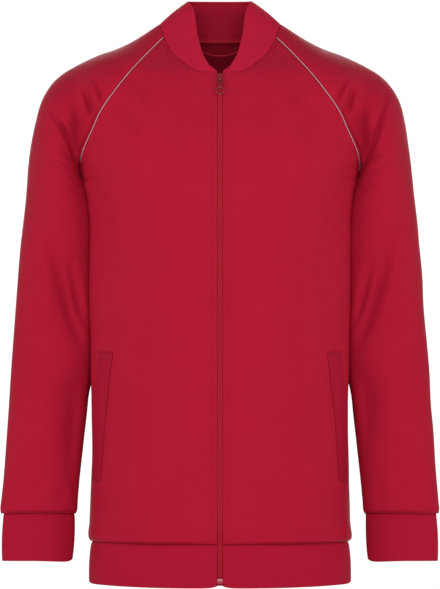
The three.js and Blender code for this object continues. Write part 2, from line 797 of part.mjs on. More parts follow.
// How far along a line each of its points lies, from 0 to 1.
function sharesAlong(points) {
  const lengths = [0];
  for (let i = 1; i < points.length; i += 1)
    lengths.push(lengths[i - 1] + points[i].distanceTo(points[i - 1]));
  return lengths.map((length) => length / lengths[lengths.length - 1]);
}

// The collar band above a point of the neckline, at a height up the band from 0 to 1.
function collarPoint(base, along, up) {
  const top = vector(collarTop.x(along), collarTop.y(along), collarTop.z(along));
  const foot = base.clone().addScaledVector(top.clone().sub(base).normalize(), COLLAR_LIFT);
  const point = foot.lerp(top, up);
  const outward = vector(point.x, point.y, 0).normalize();
  return point.addScaledVector(outward, COLLAR_BELLY * 4 * up * (1 - up) * (1 - along ** 3));
}

function collarSurface(points) {
  const shares = sharesAlong(points);
  const rows = spread(COLLAR_ROWS).map((up) => {
    const half = points.map((base, i) => collarPoint(base, shares[i], up));
    const otherHalf = half.slice(1).map((point) => vector(-point.x, point.y, point.z));
    return [...otherHalf.reverse(), ...half];
  });
  return surface(rows, RIB_WALL);
}

// The middle of the front: its depth, and the direction that it faces, at a height.
function frontDepth(z) {
  const near = smoothStep((BODY_HEM_Z + HEM_DIP_REACH - z) / HEM_DIP_REACH);
  const cutHeight = z + HEM_DIP * near;
  return cutHeight > BODY_HEM_Z ? body.front(cutHeight) : hem.front(Math.max(cutHeight, RIB_BOTTOM_Z));
}

function frontFacing(z) {
  const step = 4;
  const rise = frontDepth(z + step) - frontDepth(z - step);
  return vector(0, -2 * step, rise).normalize();
}

// A strip of the zip, at a depth behind the middle of the front.
function zipStrip(xs, recess, thickness, heights) {
  const rows = heights.map((z) =>
    xs.map((x) => vector(x, frontDepth(z), z).addScaledVector(frontFacing(z), -recess(x, z))),
  );
  const strip = surface(rows, thickness);
  strip.normals = heights.map((z) => Array(xs.length).fill(frontFacing(z)));
  return strip;
}

// The zip bends where the rows of the front panels and of the hem band do.
const HEM_SEAM_HEIGHTS = [BODY_HEM_Z - HEM_DIP - 0.6, BODY_HEM_Z - HEM_DIP - 2.5];
const ZIP_HEIGHTS = [
  COIL_TOP_Z,
  ...SHOULDER_STATIONS.slice(NECKLINE_ROWS + 1, -1).map((station) => starts.z(station)),
  ...BODY_ROW_HEIGHTS.map((z) => z + hemDip(0, z)),
  ...HEM_SEAM_HEIGHTS,
  RIB_MIDDLE_Z - HEM_DIP,
  COIL_BOTTOM_Z,
];

// A zip tape lies behind the front edge: its depth follows the wall and the curve of what covers it.
function zipTape(side) {
  const near = sideSign(side) * TAPE_EDGE_X;
  const far = sideSign(side) * TAPE_FAR_X;
  const recess = (x, z) => {
    const panelWall = mix(RIB_WALL, CLOTH_WALL, smoothStep((z - HEM_SEAM_HEIGHTS[0]) / TAPE_EASING));
    const curve = bodyPoint("front", bodyAngle(Math.abs(x), z), z).y - body.front(z);
    const atTop = TAPE_TOP_RECESS * smoothStep((z - COIL_TOP_Z + 14) / 10);
    return panelWall + TAPE_GAP + curve + atTop;
  };
  return zipStrip(side === "left" ? [near, far] : [far, near], recess, TAPE_WALL, ZIP_HEIGHTS);
}

// A welt lies on the front panel: its points are the panel's, moved out.
function pocketWelt(side) {
  const rows = spread(WELT_ROWS).map((down) =>
    spread(WELT_COLUMNS).map((over) => {
      const x = mix(mix(WELT.topX, WELT.topWideX, over), mix(WELT.bottomX, WELT.bottomWideX, over), down);
      const z = mix(WELT.topZ, WELT.bottomZ, down) + WELT.topSlant * over * (1 - down);
      return bodyPoint("front", bodyAngle(x, z), z);
    }),
  );
  const welt = surface(mirrored(rows, sideSign(side)), WELT_WALL);
  return raise(welt, () => WELT_WALL + WELT_GAP);
}

// The piping rides in the groove of the front raglan seam, just clear of both cloths.
function pipingPath(front) {
  const edge = front.points.slice(0, PIPING_ROWS).map((row) => row[FRONT_COLUMNS]);
  return edge.map((point, i) => {
    const normal = front.normals[i][FRONT_COLUMNS];
    const into = front.points[i][FRONT_COLUMNS - 1].clone().sub(point).normalize();
    const opening = Math.sqrt(Math.max(0.12, 1 - into.dot(normal) ** 2));
    return point.clone().addScaledVector(normal, (PIPING_RADIUS + PIPING_GAP) / opening);
  });
}

// The neck tape stands inside the back of the neckline, and the hanger loop hangs from under it.
function neckTape(points) {
  const held = points.slice(0, NECK_TAPE_POINTS);
  const rows = [0.5, -0.5].map((level) => {
    const height = level * NECK_TAPE_HEIGHT;
    const half = held.map((base) => {
      const outward = vector(base.x, base.y, 0).normalize();
      const inset = NECK_TAPE_INSET + Math.max(0, height) * NECK_TAPE_LEAN;
      const point = base.clone().addScaledVector(outward, -inset);
      return vector(point.x, point.y, point.z + height);
    });
    const otherHalf = half.slice(1).map((point) => vector(-point.x, point.y, point.z));
    return [...otherHalf.reverse(), ...half];
  });
  return surface(rows, TAPE_WALL);
}

function hangerLoopPath(points) {
  const base = points.find((point) => point.x >= LOOP_HALF_WIDTH);
  const inset = NECK_TAPE_INSET + TAPE_WALL + SEAM_GAP + LOOP_RADIUS;
  const end = base.clone().addScaledVector(vector(base.x, base.y, 0).normalize(), -inset);
  return spread(LOOP_STEPS, -1, 1).map((across) => {
    const drop = LOOP_DROP * (1 - Math.abs(across) ** LOOP_FULLNESS);
    return vector(across * end.x, mix(points[0].y - inset, end.y, across ** 2), end.z - drop);
  });
}

const manifoldLibrary = await Module();
manifoldLibrary.setup();

// A geometry as a solid that can be joined, and back.
function solidFrom(geometry) {
  const bare = geometry.clone();
  bare.deleteAttribute("normal");
  bare.deleteAttribute("uv");
  const merged = mergeVertices(bare);
  return new manifoldLibrary.Manifold(
    new manifoldLibrary.Mesh({
      numProp: 3,
      vertProperties: merged.attributes.position.array,
      triVerts: new Uint32Array(merged.index.array),
    }),
  );
}

function geometryFrom(solid) {
  const mesh = solid.getMesh();
  const geometry = new THREE.BufferGeometry();
  geometry.setAttribute("position", new THREE.BufferAttribute(mesh.vertProperties, 3));
  geometry.setIndex(new THREE.BufferAttribute(mesh.triVerts, 1));
  return geometry;
}

// A profile in the plane of depth and height, as thick as the slider is wide.
function acrossZip(outline, halfWidth, hole) {
  const shape = new THREE.Shape(outline.map(([y, z]) => new THREE.Vector2(y, z)));
  if (hole) shape.holes.push(new THREE.Path(hole.map(([y, z]) => new THREE.Vector2(y, z))));
  const geometry = new THREE.ExtrudeGeometry(shape, { depth: 2 * halfWidth, bevelEnabled: false });
  geometry.translate(0, 0, -halfWidth);
  const turn = new THREE.Matrix4().makeBasis(vector(0, 1, 0), vector(0, 0, 1), vector(1, 0, 0));
  return geometry.applyMatrix4(turn);
}

function sliderGeometry() {
  const s = SLIDER;
  const plates = acrossZip(
    [
      [s.platePlane, s.bottom],
      [s.plateBack, s.bottom],
      [s.plateBack, s.bridgeBottom],
      [s.rearFront, s.bridgeBottom],
      [s.rearFront, s.bottom],
      [s.rearBack, s.bottom],
      [s.rearBack, s.top - 1.5],
      [s.rearBack - 1.5, s.top],
      [s.platePlane + 1.2, s.top],
      [s.platePlane, s.top - 1.2],
    ],
    s.halfWidth,
  );
  const c = CROWN;
  const inSlider = s.platePlane + 0.4;
  const crown = acrossZip(
    [
      [inSlider, -c.halfHeight],
      [inSlider, c.halfHeight],
      [c.reach + 1, c.halfHeight],
      [c.reach, c.halfHeight - 1],
      [c.reach, 1 - c.halfHeight],
      [c.reach + 1, -c.halfHeight],
    ],
    c.halfWidth,
    [
      [s.platePlane, -c.holeHalfHeight],
      [c.holeReach, -c.holeHalfHeight],
      [c.holeReach, c.holeHalfHeight],
      [s.platePlane, c.holeHalfHeight],
    ],
  );
  return geometryFrom(solidFrom(plates).add(solidFrom(crown)));
}

// The pull is a flat plate: a bar under the crown, two arms, a short stem and a ring.
function pullGeometry() {
  const p = PULL;
  const stemTop = -p.windowLength - 1.2;
  const stemMeets = Math.asin(p.stemHalfWidth / p.ringRadius);
  const outline = new THREE.Shape();
  outline.moveTo(-p.frameHalfWidth, p.barHalf);
  outline.lineTo(-p.frameHalfWidth, 1 - p.windowLength);
  outline.lineTo(-p.stemHalfWidth, stemTop);
  const ringStart = HALF_TURN / 2 + stemMeets;
  outline.absarc(0, p.ringCentre, p.ringRadius, ringStart, 3 * HALF_TURN - ringStart);
  outline.lineTo(p.stemHalfWidth, stemTop);
  outline.lineTo(p.frameHalfWidth, 1 - p.windowLength);
  outline.lineTo(p.frameHalfWidth, p.barHalf);
  outline.closePath();
  const opening = new THREE.Path();
  opening.moveTo(-p.windowHalfWidth, -p.barHalf);
  opening.lineTo(p.windowHalfWidth, -p.barHalf);
  opening.lineTo(p.windowHalfWidth, -p.windowLength);
  opening.lineTo(-p.windowHalfWidth, -p.windowLength);
  opening.closePath();
  const eye = new THREE.Path();
  eye.absarc(0, p.ringCentre, p.holeRadius, 0, 2 * HALF_TURN);
  outline.holes.push(opening, eye);
  const making = { depth: p.thickness, bevelEnabled: false, curveSegments: 18 };
  const plate = new THREE.ExtrudeGeometry(outline, making);
  plate.translate(0, 0, -p.thickness / 2);
  const upright = new THREE.Matrix4().makeBasis(vector(1, 0, 0), vector(0, 0, 1), vector(0, -1, 0));
  return plate.applyMatrix4(upright);
}

const jacket = new THREE.Group();

function addPiece(name, geometry, finish, parent = jacket) {
  const mesh = new THREE.Mesh(geometry, new THREE.MeshStandardMaterial(finish));
  mesh.name = name;
  parent.add(mesh);
  return mesh;
}

// The cloth: both fronts, the back and both sleeves, with their seams joined.
const back = backSurface();
const shoulderRows = spread(SHOULDER_ROWS, 0, SHOULDER_ROWS);
const lowestRow = SHOULDER_ROWS + BODY_ROW_HEIGHTS.length - 1;
const bodyRows = spread(lowestRow - SHOULDER_ROWS - 1, SHOULDER_ROWS + 1, lowestRow);
let neckline = [];
for (const side of SIDES) {
  const front = frontSurface(side);
  const sleeve = sleeveSurface(side);
  if (side === "left") neckline = necklinePoints(back, sleeve, front);
  const lastColumn = 2 * SLEEVE_HALF_COLUMNS;
  const backColumn = side === "left" ? BACK_COLUMNS : 0;
  const backStep = side === "left" ? -1 : 1;
  const edge = (rows, column, step) => rows.map((row) => [row, column, step]);
  joinSeam(front, sleeve, edge(shoulderRows, FRONT_COLUMNS, -1), edge(shoulderRows, 0, 1));
  joinSeam(back, sleeve, edge(shoulderRows, backColumn, backStep), edge(shoulderRows, lastColumn, -1));
  joinSeam(front, back, edge(bodyRows, FRONT_COLUMNS, -1), edge(bodyRows, backColumn, backStep));
  closeArmpit(front, FRONT_COLUMNS, -1);
  closeArmpit(back, backColumn, 1);
  addPiece(`front_${side}`, wall(front), CLOTH);
  addPiece(`sleeve_${side}`, wall(sleeve), CLOTH);
  addPiece(`piping_${side}`, cord(pipingPath(front), PIPING_RADIUS, PIPING_SIDES), GREY);
  addPiece(`pocket_welt_${side}`, wall(pocketWelt(side)), CLOTH);
  addPiece(`cuff_${side}`, wall(cuffSurface(side)), RIB);
  addPiece(`zip_tape_${side}`, wall(zipTape(side)), ZIP_TAPE);
}
addPiece("back", wall(back), CLOTH);
addPiece("collar", wall(collarSurface(neckline)), RIB);
addPiece("hem_band", wall(hemBandSurface()), RIB);
addPiece("neck_tape", wall(neckTape(neckline)), ZIP_TAPE);
addPiece("hanger_loop", cord(hangerLoopPath(neckline), LOOP_RADIUS, PIPING_SIDES), ZIP_TAPE);

const coil = zipStrip([-COIL_WIDTH / 2, COIL_WIDTH / 2], () => COIL_RECESS, COIL_WALL, ZIP_HEIGHTS);
addPiece("zip_coil", wall(coil), ZIP_TAPE);
const box = addPiece("zip_box", new THREE.BoxGeometry(BOX_WIDTH, BOX_DEPTH, BOX_HEIGHT), ENAMEL);
const boxDepth = frontDepth(COIL_BOTTOM_Z) + BOX_DEPTH / 2 - BOX_PROUD;
box.position.set(0, boxDepth, COIL_BOTTOM_Z - SEAM_GAP - BOX_HEIGHT / 2);

const zipHead = new THREE.Group();
const sliderFacing = frontFacing(SLIDER_Z);
zipHead.position.set(0, frontDepth(SLIDER_Z), SLIDER_Z);
zipHead.rotation.x = Math.atan2(-sliderFacing.z, -sliderFacing.y);
jacket.add(zipHead);
addPiece("zip_slider", sliderGeometry(), ENAMEL, zipHead);
const pull = addPiece("zip_pull", pullGeometry(), ENAMEL, zipHead);
pull.position.y = PULL.pivotY;

export default jacket;
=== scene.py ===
"""A full-zip raglan track jacket, filled out as if it were worn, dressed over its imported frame.

Lengths in the tables and functions are millimetres, and mesh_object turns them into metres. The front faces
-Y and +X is the wearer's left. Cloth is a grid of points with a normal at each, made into a thin shell.
"""

import bpy
import numpy as np
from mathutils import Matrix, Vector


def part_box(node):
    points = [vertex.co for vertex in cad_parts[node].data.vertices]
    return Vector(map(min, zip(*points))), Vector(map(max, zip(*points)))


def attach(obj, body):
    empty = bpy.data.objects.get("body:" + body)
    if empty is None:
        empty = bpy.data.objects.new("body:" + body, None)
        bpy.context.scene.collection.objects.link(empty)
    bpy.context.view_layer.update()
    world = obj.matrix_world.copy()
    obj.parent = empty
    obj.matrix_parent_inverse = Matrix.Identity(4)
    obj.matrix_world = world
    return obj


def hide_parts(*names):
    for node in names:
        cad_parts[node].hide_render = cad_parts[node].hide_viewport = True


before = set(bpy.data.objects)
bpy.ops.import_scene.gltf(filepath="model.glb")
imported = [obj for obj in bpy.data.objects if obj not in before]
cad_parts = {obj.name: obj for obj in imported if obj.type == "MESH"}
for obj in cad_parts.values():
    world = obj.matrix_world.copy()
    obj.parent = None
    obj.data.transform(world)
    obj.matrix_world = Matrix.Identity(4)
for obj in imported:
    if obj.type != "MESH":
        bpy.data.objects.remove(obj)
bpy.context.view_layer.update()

MM = 0.001
SIDES = {"right": -1, "left": 1}
ALL_EDGES = ["left", "right", "top", "bottom"]

# Walls, gaps and the roundness of the body's rings, where 2 is an ellipse and more is squarer
CLOTH_WALL = 1.5
RIB_WALL = 2.4
SEAM_GAP = 0.3
ROUNDNESS = 2.8

# Heights, the front edges, and the rows of the tables where the zip, the armpit and the cuff begin
ARMPIT_Z = -194
BODY_HEM_Z = -664
RIB_TOP_Z = -663.7
RIB_BOTTOM_Z = -719
HEM_DIP = 5.5
HEM_SEAM_DIP = 3.2
HEM_DIP_REACH = 90
FRONT_EDGE_X = 3.7
ZIP_TOP_Z = -57
ZIP_STATION = 4
ARMPIT_STATION = 10
CUFF_STATION = 20
COIL_TOP_Z = -63.5
COIL_BOTTOM_Z = -710.7
CUFF_TOP_Z = -627.8
CUFF_BOTTOM_Z = -690
SLIDER_Z = -66
PULL_Y = -2.5

# The crown's arch over the slider: its foot, height, half length, bar radius and how full its curve is
CROWN_FOOT_Y = -1
CROWN_HEIGHT = 3.4
CROWN_HALF_LENGTH = 2.3
CROWN_RADIUS = 1
CROWN_POWER = 0.7

# Zip teeth, and the strip below them as places across it
TOOTH_PITCH = 1.5
TOOTH_RECESS = 0.55
TOOTH_X = 0.95
TOOTH_LENGTH = 3
TOOTH_RADIUS = 0.5
STRIP_X = np.array([-3.3, -3, -1.2, 0, 1.2, 3, 3.3])
STRIP_RECESS = 0.7
STRIP_WALL = 1

# Points round the zip's plates, the pull's bars and the floor, the floor itself, and the zip box's edges
OUTLINE_POINTS = 48
BAR_POINTS = 12
FLOOR_SIDES = 64
FLOOR_RADIUS = 4300
FLOOR_Z = -800
BOX_ROUNDNESS = 5
BOX_BEVEL = 0.8

# Grid spacing on cloth and rib, the closer steps that round an edge, and the lengths that the steps divide
CLOTH_STEP = 3
SLEEVE_STEP = 2.1
RIB_STEP = 2.2
HEM_STEP = 1.3 * RIB_STEP
EDGE_STEPS = np.array([0, 0.12, 0.35, 0.75, 1.4, 2, 2.7, 3.5, 4.4])
NARROW_EDGE_STEPS = EDGE_STEPS[:5]
FRONT_WIDTH = 240
BACK_WIDTH = 480
SLEEVE_GIRTH = 300
HEM_GIRTH = 900
COLLAR_HEIGHT = 44
COLLAR_COLUMNS = 170
CUFF_COLUMNS = 110

# How far the collar's foot is let down and its middle swells, and the rib bands between their seams and
# edges
COLLAR_LIFT = -0.3
COLLAR_BELLY = 2.2
HEM_SWELL = 0.8
CUFF_SWELL = 0.9
SWELL_START = 6

# Rounded corners of the rib: how far the hem rises at the zip, over what reach, and at the sides, and how
# far the cuff's inner corner rises and its edge slants
HEM_ZIP_CORNER = 3
HEM_ZIP_CORNER_REACH = 6
HEM_SIDE_CORNER = 2
CUFF_CORNER = 3.6
CUFF_SLANT = 1.5

# How far a sleeve leans on the body above its inner height, and how deep it sinks in
SLEEVE_PRESS = 8
PRESS_LOW_Z = -482
PRESS_REACH = 70
SLEEVE_SINK = 0.25

# How much flatter a sleeve's rings get, over how many stations below the armpit, and the rows that are eased
# there
FLATTER = 0.24
FLATTER_STATIONS = 2.5
EASED_ROWS = 14
EASE_REACH = 12

# Folds and creases fade in from the start and from the end of a row, as one over a share of its length
ROW_FADES = {
    "front_folds": (6, 8),
    "front_creases": (40, 40),
    "back_folds": (13, 13),
    "back_creases": (60, 60),
}
SLEEVE_SEAM_FADE = 60
RIDGE_FADE = 8
HEM_FADE = 14
INNER_FOLD_FADE = 18
INNER_CREASE_FADE = 6

# A crease's profile: the power of its run-out and of its slope, and the ridge beside it
CREASE_RUN_OUT = 0.7
CREASE_SLOPE = 1.4
CREASE_RIDGE = [[-0.22, 2.1, 0.9]]

# Relief beside seams and edges as bells: height, distance from the seam or edge, and width
SEAM_ROLL = [[0.45, 8, 5], [-1.1, 0, 3.2]]
NECK_ROLL = [[-0.6, 0, 1.4], [0.35, 2, 1.2], [-0.55, 4, 0.9]]
HEM_PUFF = [[1.2, 9, 9]]
HEM_BULGE = [[1, 4.4, 5]]
HEM_FLUTES = [[0.5, 0, 20]]
HEM_PULL_IN = [[-1.3, 0, 2.2]]
SLEEVE_END_PUFF = [[0.5, 7, 6]]
SLEEVE_END_FLUTES = [[0.5, 0, 22]]
SLEEVE_FULLNESS = [[3, 48, 24]]
PIT_SINK = [[1.3, ARMPIT_Z, 12]]
HEM_BAND_TOP = [[-1.3, 0, 3]]
HEM_BAND_EDGE = [[-0.35, 2.4, 0.5]]
CUFF_TOP = [[-0.2, 0, 2], [-0.35, 3.2, 0.6]]
CUFF_EDGE = [[-0.35, 2.2, 0.5]]
COLLAR_EDGE = [[0.3, 2.2, 0.6], [0.3, 4.6, 0.6]]

# The body's front corners: how full, how wide, how far from the side seam below and nearer to it above, the
# height and reach of that change, and where the fullness starts and ends
CORNER = {
    "height": 5.5,
    "width": 26,
    "away": 50,
    "nearer": 42,
    "change_z": -208,
    "change_reach": 36,
    "top_z": -172,
    "top_reach": 30,
    "low_z": -600,
    "low_reach": 120,
}

# Unevenness of the cloth: height, spacing, the share of z that counts (low for upright flutes), and the seed
UNEVEN = {
    "front": (0.7, 90, 1, 11),
    "back": (0.7, 90, 1, 12),
    "hem_flutes": (1, 17, 0.15, 5),
    "right_sleeve": (0.8, 80, 1, 20),
    "left_sleeve": (0.8, 80, 1, 22),
    "right_sleeve_flutes": (1, 19, 0.2, 30),
    "left_sleeve_flutes": (1, 19, 0.2, 32),
    "hem_band": (0.4, 60, 0.4, 41),
    "right_cuff": (0.5, 40, 0.4, 50),
    "left_cuff": (0.5, 40, 0.4, 52),
    "collar": (0.35, 60, 1, 61),
    "collar_creases": (0.5, 24, 0.12, 62),
    "right_welt": (0.2, 30, 1, 70),
    "left_welt": (0.2, 30, 1, 72),
}
UNEVEN_WAVES = 12


def table(heading, *rows):
    """A table's heading names its columns, and each column becomes an array with that name."""
    return dict(zip(heading.split(), np.array(rows, float).T))


BODY_RINGS = table(
    "z half_width front front_side back back_side",
    [-3, 149.5, -20, 5, 30, -5],
    [-14, 151.5, -31, -8, 60, -15],
    [-30, 155, -50, -18, 74, -15],
    [-57, 160.5, -80, -38, 91, 15],
    [-79, 165, -91, -62, 100, 33],
    [-105, 170.5, -101, -63, 108, 38],
    [-125, 175.5, -109, -56, 113, 31],
    [-150, 181, -116, -39.5, 118, 18],
    [-172, 183.5, -121, -24, 119, 2],
    [-185, 181.8, -123.5, -5, 119, -2],
    [-194, 178, -125, 0, 118.5, 0],
    [-226, 171.3, -126, 0, 117, 0],
    [-262, 168.3, -124, 0, 113, 0],
    [-319, 167.2, -119, 0, 104, 0],
    [-380, 166.9, -114, 0, 98, 0],
    [-440, 166.2, -112, 0, 96, 0],
    [-485, 164.8, -112, 0, 98, 0],
    [-541, 165.6, -114, 0, 105, 0],
    [-588, 167.2, -116, 0, 112, 0],
    [-631, 168.8, -118.5, 0, 117.5, 0],
    [-652, 169.8, -120, 0, 119.5, 0],
    [-664, 168.8, -118.5, 0, 118, 0],
)
HEM_RINGS = table(
    "z half_width front back",
    [-664, 167.2, -117.2, 116.8],
    [-690, 169.2, -117.6, 117.4],
    [-719, 170.4, -116.4, 116.6],
)

# Raglan seams from the neck (station 0) to the armpit (10)
RAGLAN_SEAMS = table(
    "station front_x front_z back_x back_z",
    [0, 72.5, -8.3, 69, -3],
    [1, 94.5, -30.3, 90, -22],
    [2, 116.6, -54, 110, -46],
    [3, 135, -77, 128, -70],
    [4, 156, -107.5, 147, -101],
    [5, 166, -130, 158, -125],
    [6, 174, -147, 168, -144],
    [7, 180, -162, 175.5, -160],
    [8, 182, -174, 180, -173],
    [9, 180.4, -184.6, 180, -184.4],
    [10, 178, -194, 178, -194],
)
FRONT_STARTS = table(
    "station x z",
    [0, 71.6, -12.3],
    [1, 63.5, -26.5],
    [2, 49.8, -40],
    [3, 30, -52.5],
    [4, FRONT_EDGE_X, ZIP_TOP_Z],
    [5, FRONT_EDGE_X, -78],
    [6, FRONT_EDGE_X, -100],
    [7, FRONT_EDGE_X, -123],
    [8, FRONT_EDGE_X, -147],
    [9, FRONT_EDGE_X, -171],
    [10, FRONT_EDGE_X, ARMPIT_Z],
)
BACK_SAG = table("station sag", [0, 11], [1, 9], [2, 6], [4, 1.5], [6, 0], [10, 0])
SLEEVE_RIDGE = table(
    "station x y z",
    [0, 78.5, 6, 7.5],
    [1, 113.5, 4, -14.6],
    [2, 137, 3, -25.6],
    [3, 156, 2, -32.3],
    [4, 186, 0, -46.5],
    [5, 208, 0, -60.3],
    [6, 221, 0, -73.5],
    [7, 234, 0, -96.2],
    [8, 241.8, 0, -127.4],
    [9, 245.6, 0, -151],
    [10, 248.3, 0, -172.6],
    [11, 252.6, 0, -213],
    [12, 256.8, 1, -255],
    [13, 262.2, 3, -318],
    [14, 267, 4, -380],
    [15, 271.4, 2, -441],
    [16, 273.7, -2, -481],
    [17, 278, -8, -535],
    [18, 281.3, -14, -585],
    [19, 284.8, -18, -622],
    [20, 284.2, -18, -628.4],
)
SHOULDER_CURVES = table(
    "station turn seam_reach ridge_reach",
    [0, -35, 9, 9],
    [1, -28, 18, 20],
    [2, -15, 26, 30],
    [3, -3, 32, 38],
    [4, 8, 36, 46],
    [5, 20, 40, 52],
    [6, 33, 44, 58],
    [7, 46, 50, 64],
    [8, 60, 60, 74],
    [9, 76, 74, 84],
    [10, 90, 93.3, 93.3],
)
SLEEVE_INNER = table(
    "station x z depth",
    [10, 178, -194, 140],
    [11, 172.9, -226, 137],
    [12, 170.1, -262, 130],
    [13, 169, -319, 110],
    [14, 168.7, -380, 96],
    [15, 168.4, -441, 88],
    [16, 171.2, -481, 80],
    [17, 177, -535, 71],
    [18, 182.5, -585, 63],
    [19, 186, -622, 57],
    [20, 187.4, -628.4, 39.6],
)
CUFF_RINGS = table(
    "z outer_x inner_x depth y",
    [-627.8, 281.2, 188.8, 38, -18],
    [-660, 282.4, 190, 37, -18.5],
    [-690, 283, 191.6, 35, -19],
)
COLLAR_TOP = table(
    "along x y z",
    [0, 0, 47, 37.5],
    [0.17, 22, 43.5, 37.5],
    [0.33, 37, 32, 37.5],
    [0.45, 41.6, 13, 37.3],
    [0.53, 39.6, -4, 35.8],
    [0.59, 35.2, -18, 28],
    [0.65, 32, -29, 14],
    [0.72, 29.8, -41, -3],
    [0.79, 26.6, -53, -17],
    [0.87, 22.6, -64, -31],
    [0.94, 16, -73, -43],
    [1, 9.4, -79.5, -53],
)

# Folds: a trough (depth below 0) or ridge from one point to another, seen from the front, with x as the
# distance from the middle: from x, from z, to x, to z, bow, width, depth. The large ones are soft, and
# creases are sharp.
FRONT_FOLDS = {
    "right": [
        [134, -84, 105, -136, 0, 9, -5],
        [112, -59, 93, -94, 0, 8, -4],
        [150, -310, 149, -395, 0, 14, 3],
        [131, -424, 147, -566, 0, 5, 1.8],
        [125, -640, 70, -615, 0, 12, -2.5],
    ],
    "left": [
        [126, -88, 107, -143, 0, 9, -5],
        [107, -62, 92, -98, 0, 8, -4],
        [152, -300, 148, -380, 0, 14, 2.5],
        [131, -424, 147, -566, 0, 5, 1.8],
        [118, -645, 60, -620, 0, 12, -2.5],
    ],
}
FRONT_CREASES = {
    "right": [
        [91, -30, 79, -53, 1, 4, -1.3],
        [34, -58, 19, -86, 2, 4.5, -1.3],
        [120, -96, 110, -120, 0, 6, -1.2],
        [24, -70, 15, -96, 0, 4, -0.8],
        [60, -45, 50, -68, 0, 5, -0.7],
        [168, -210, 140, -250, 5, 7, -1.4],
        [166, -236, 142, -268, 4, 8, -1.2],
    ],
    "left": [
        [84, -25, 79, -50, 1, 4, -1.3],
        [30, -60, 17, -84, 2, 4.5, -1.1],
        [119, -94, 108, -122, 0, 6, -1.2],
        [22, -72, 14, -94, 0, 4, -0.7],
        [52, -47, 44, -66, 0, 5, -0.7],
        [168, -206, 138, -244, 5, 7, -1.3],
        [165, -240, 144, -275, 4, 8, -1.2],
    ],
}
SLEEVE_FOLDS = {
    "right": [
        [192, -42, 186, -172, 0, 16, -12],
        [210, -118, 199, -147, 0, 5, -3.4],
        [164, -72, 182, -176, 0, 18, -17],
        [221, -266, 177, -418, -3, 12, -8],
        [197, -292, 172, -388, -2, 7, -7],
        [199, -338, 181, -394, 0, 4, 2],
        [228, -312, 219, -380, 0, 7, 2],
        [190, -440, 186, -600, 0, 16, -6],
    ],
    "left": [
        [191, -42, 186, -172, 0, 16, -12],
        [208, -108, 197, -148, 0, 5, -3.6],
        [163, -72, 182, -176, 0, 18, -19],
        [222, -266, 176, -416, -3, 12, -8],
        [197, -294, 173, -388, -2, 7, -7],
        [196, -338, 179, -392, 0, 4, 2],
        [226, -322, 218, -346, 0, 7, 2],
        [188, -440, 190, -540, 0, 18, -6],
    ],
}
SLEEVE_CREASES = {
    "right": [
        [224, -100, 184, -173, 3.4, 2.7, -7],
        [179, -72, 164, -116, 0.5, 3.5, -10],
        [190, -84, 185, -164, 0, 4.5, -2],
        [164, -62, 151, -97, 0.5, 3, -8],
        [199, -95, 194, -128, 0, 5, 2],
        [216, -164, 186, -189, 2, 3.4, -3],
        [212, -178, 182, -202, 2, 3.4, -2.6],
        [209, -196, 180, -217, 2, 3.4, -2],
        [221, -270, 178, -414, -3, 5, -2.8],
        [196, -304, 174, -388, -2, 4, -1.8],
        [195, -582, 184, -600, 0, 4, -1.6],
        [262, -330, 244, -352, 2, 7, -1],
        [252, -566, 226, -596, 3, 7, -1.2],
        [200, -592, 214, -622, 1, 6, -1.4],
    ],
    "left": [
        [215.8, -75, 183.3, -174, -8, 2.7, -7],
        [213, -162.5, 184.6, -177, 5, 3.6, -2.6],
        [177, -70, 163, -113, 0.5, 3.5, -9],
        [189, -82, 185, -164, 0, 4.5, -2],
        [165, -62, 150, -95, 0.5, 3, -8],
        [198, -98, 192, -130, 0, 5, 2],
        [216, -180, 186, -197, 2, 3.4, -3],
        [213, -195, 183, -211, 2, 3.4, -2.4],
        [224, -270, 179, -414, -3, 5, -2.8],
        [195, -306, 175, -388, -2, 4, -1.8],
        [248, -560, 224, -594, 3, 7, -1.2],
        [204, -590, 216, -622, 1, 6, -1.4],
    ],
}
SLEEVE_BACK_FOLDS = {
    "right": [
        [226, -110, 190, -170, 3, 11, -6],
        [240, -300, 196, -372, 5, 13, -7],
        [236, -350, 190, -425, 4, 13, -6],
        [205, -470, 186, -512, 0, 12, -5],
    ],
    "left": [
        [220, -96, 188, -168, 5, 11, -6],
        [243, -318, 200, -380, 4, 13, -6],
        [232, -362, 188, -440, 4, 13, -7],
        [208, -486, 186, -530, 0, 12, -5],
    ],
}
SLEEVE_BACK_CREASES = {
    "right": [
        [226, -112, 188, -176, 3, 3.2, -3.8],
        [236, -150, 192, -190, 6, 3.6, -2.9],
        [242, -298, 194, -376, 6, 3.6, -3.2],
        [236, -352, 188, -428, 5, 3.6, -2.9],
        [212, -330, 186, -366, 2, 3.6, -2.9],
        [206, -470, 184, -514, 1, 3.6, -2.6],
        [246, -560, 214, -602, 3, 5, -2.2],
    ],
    "left": [
        [221, -98, 186, -174, 5, 3.2, -3.8],
        [232, -146, 190, -186, 6, 3.6, -2.9],
        [244, -316, 198, -384, 5, 3.6, -2.9],
        [233, -360, 186, -444, 5, 3.6, -3.2],
        [214, -344, 190, -378, 2, 3.6, -2.6],
        [209, -484, 184, -532, 1, 3.6, -2.6],
        [250, -566, 216, -600, 3, 5, -2.2],
    ],
}
BACK_FOLDS = {
    "right": [
        [150, -190, 96, -262, 6, 13, -4],
        [140, -120, 118, -176, 0, 11, -4],
        [140, -440, 40, -470, 5, 15, -3],
        [120, -640, 60, -600, 0, 13, -2.5],
    ],
    "left": [
        [152, -200, 104, -285, 6, 13, -4],
        [138, -112, 120, -168, 0, 11, -4],
        [130, -470, 30, -440, 5, 15, -3],
        [126, -645, 70, -612, 0, 13, -2.5],
    ],
}
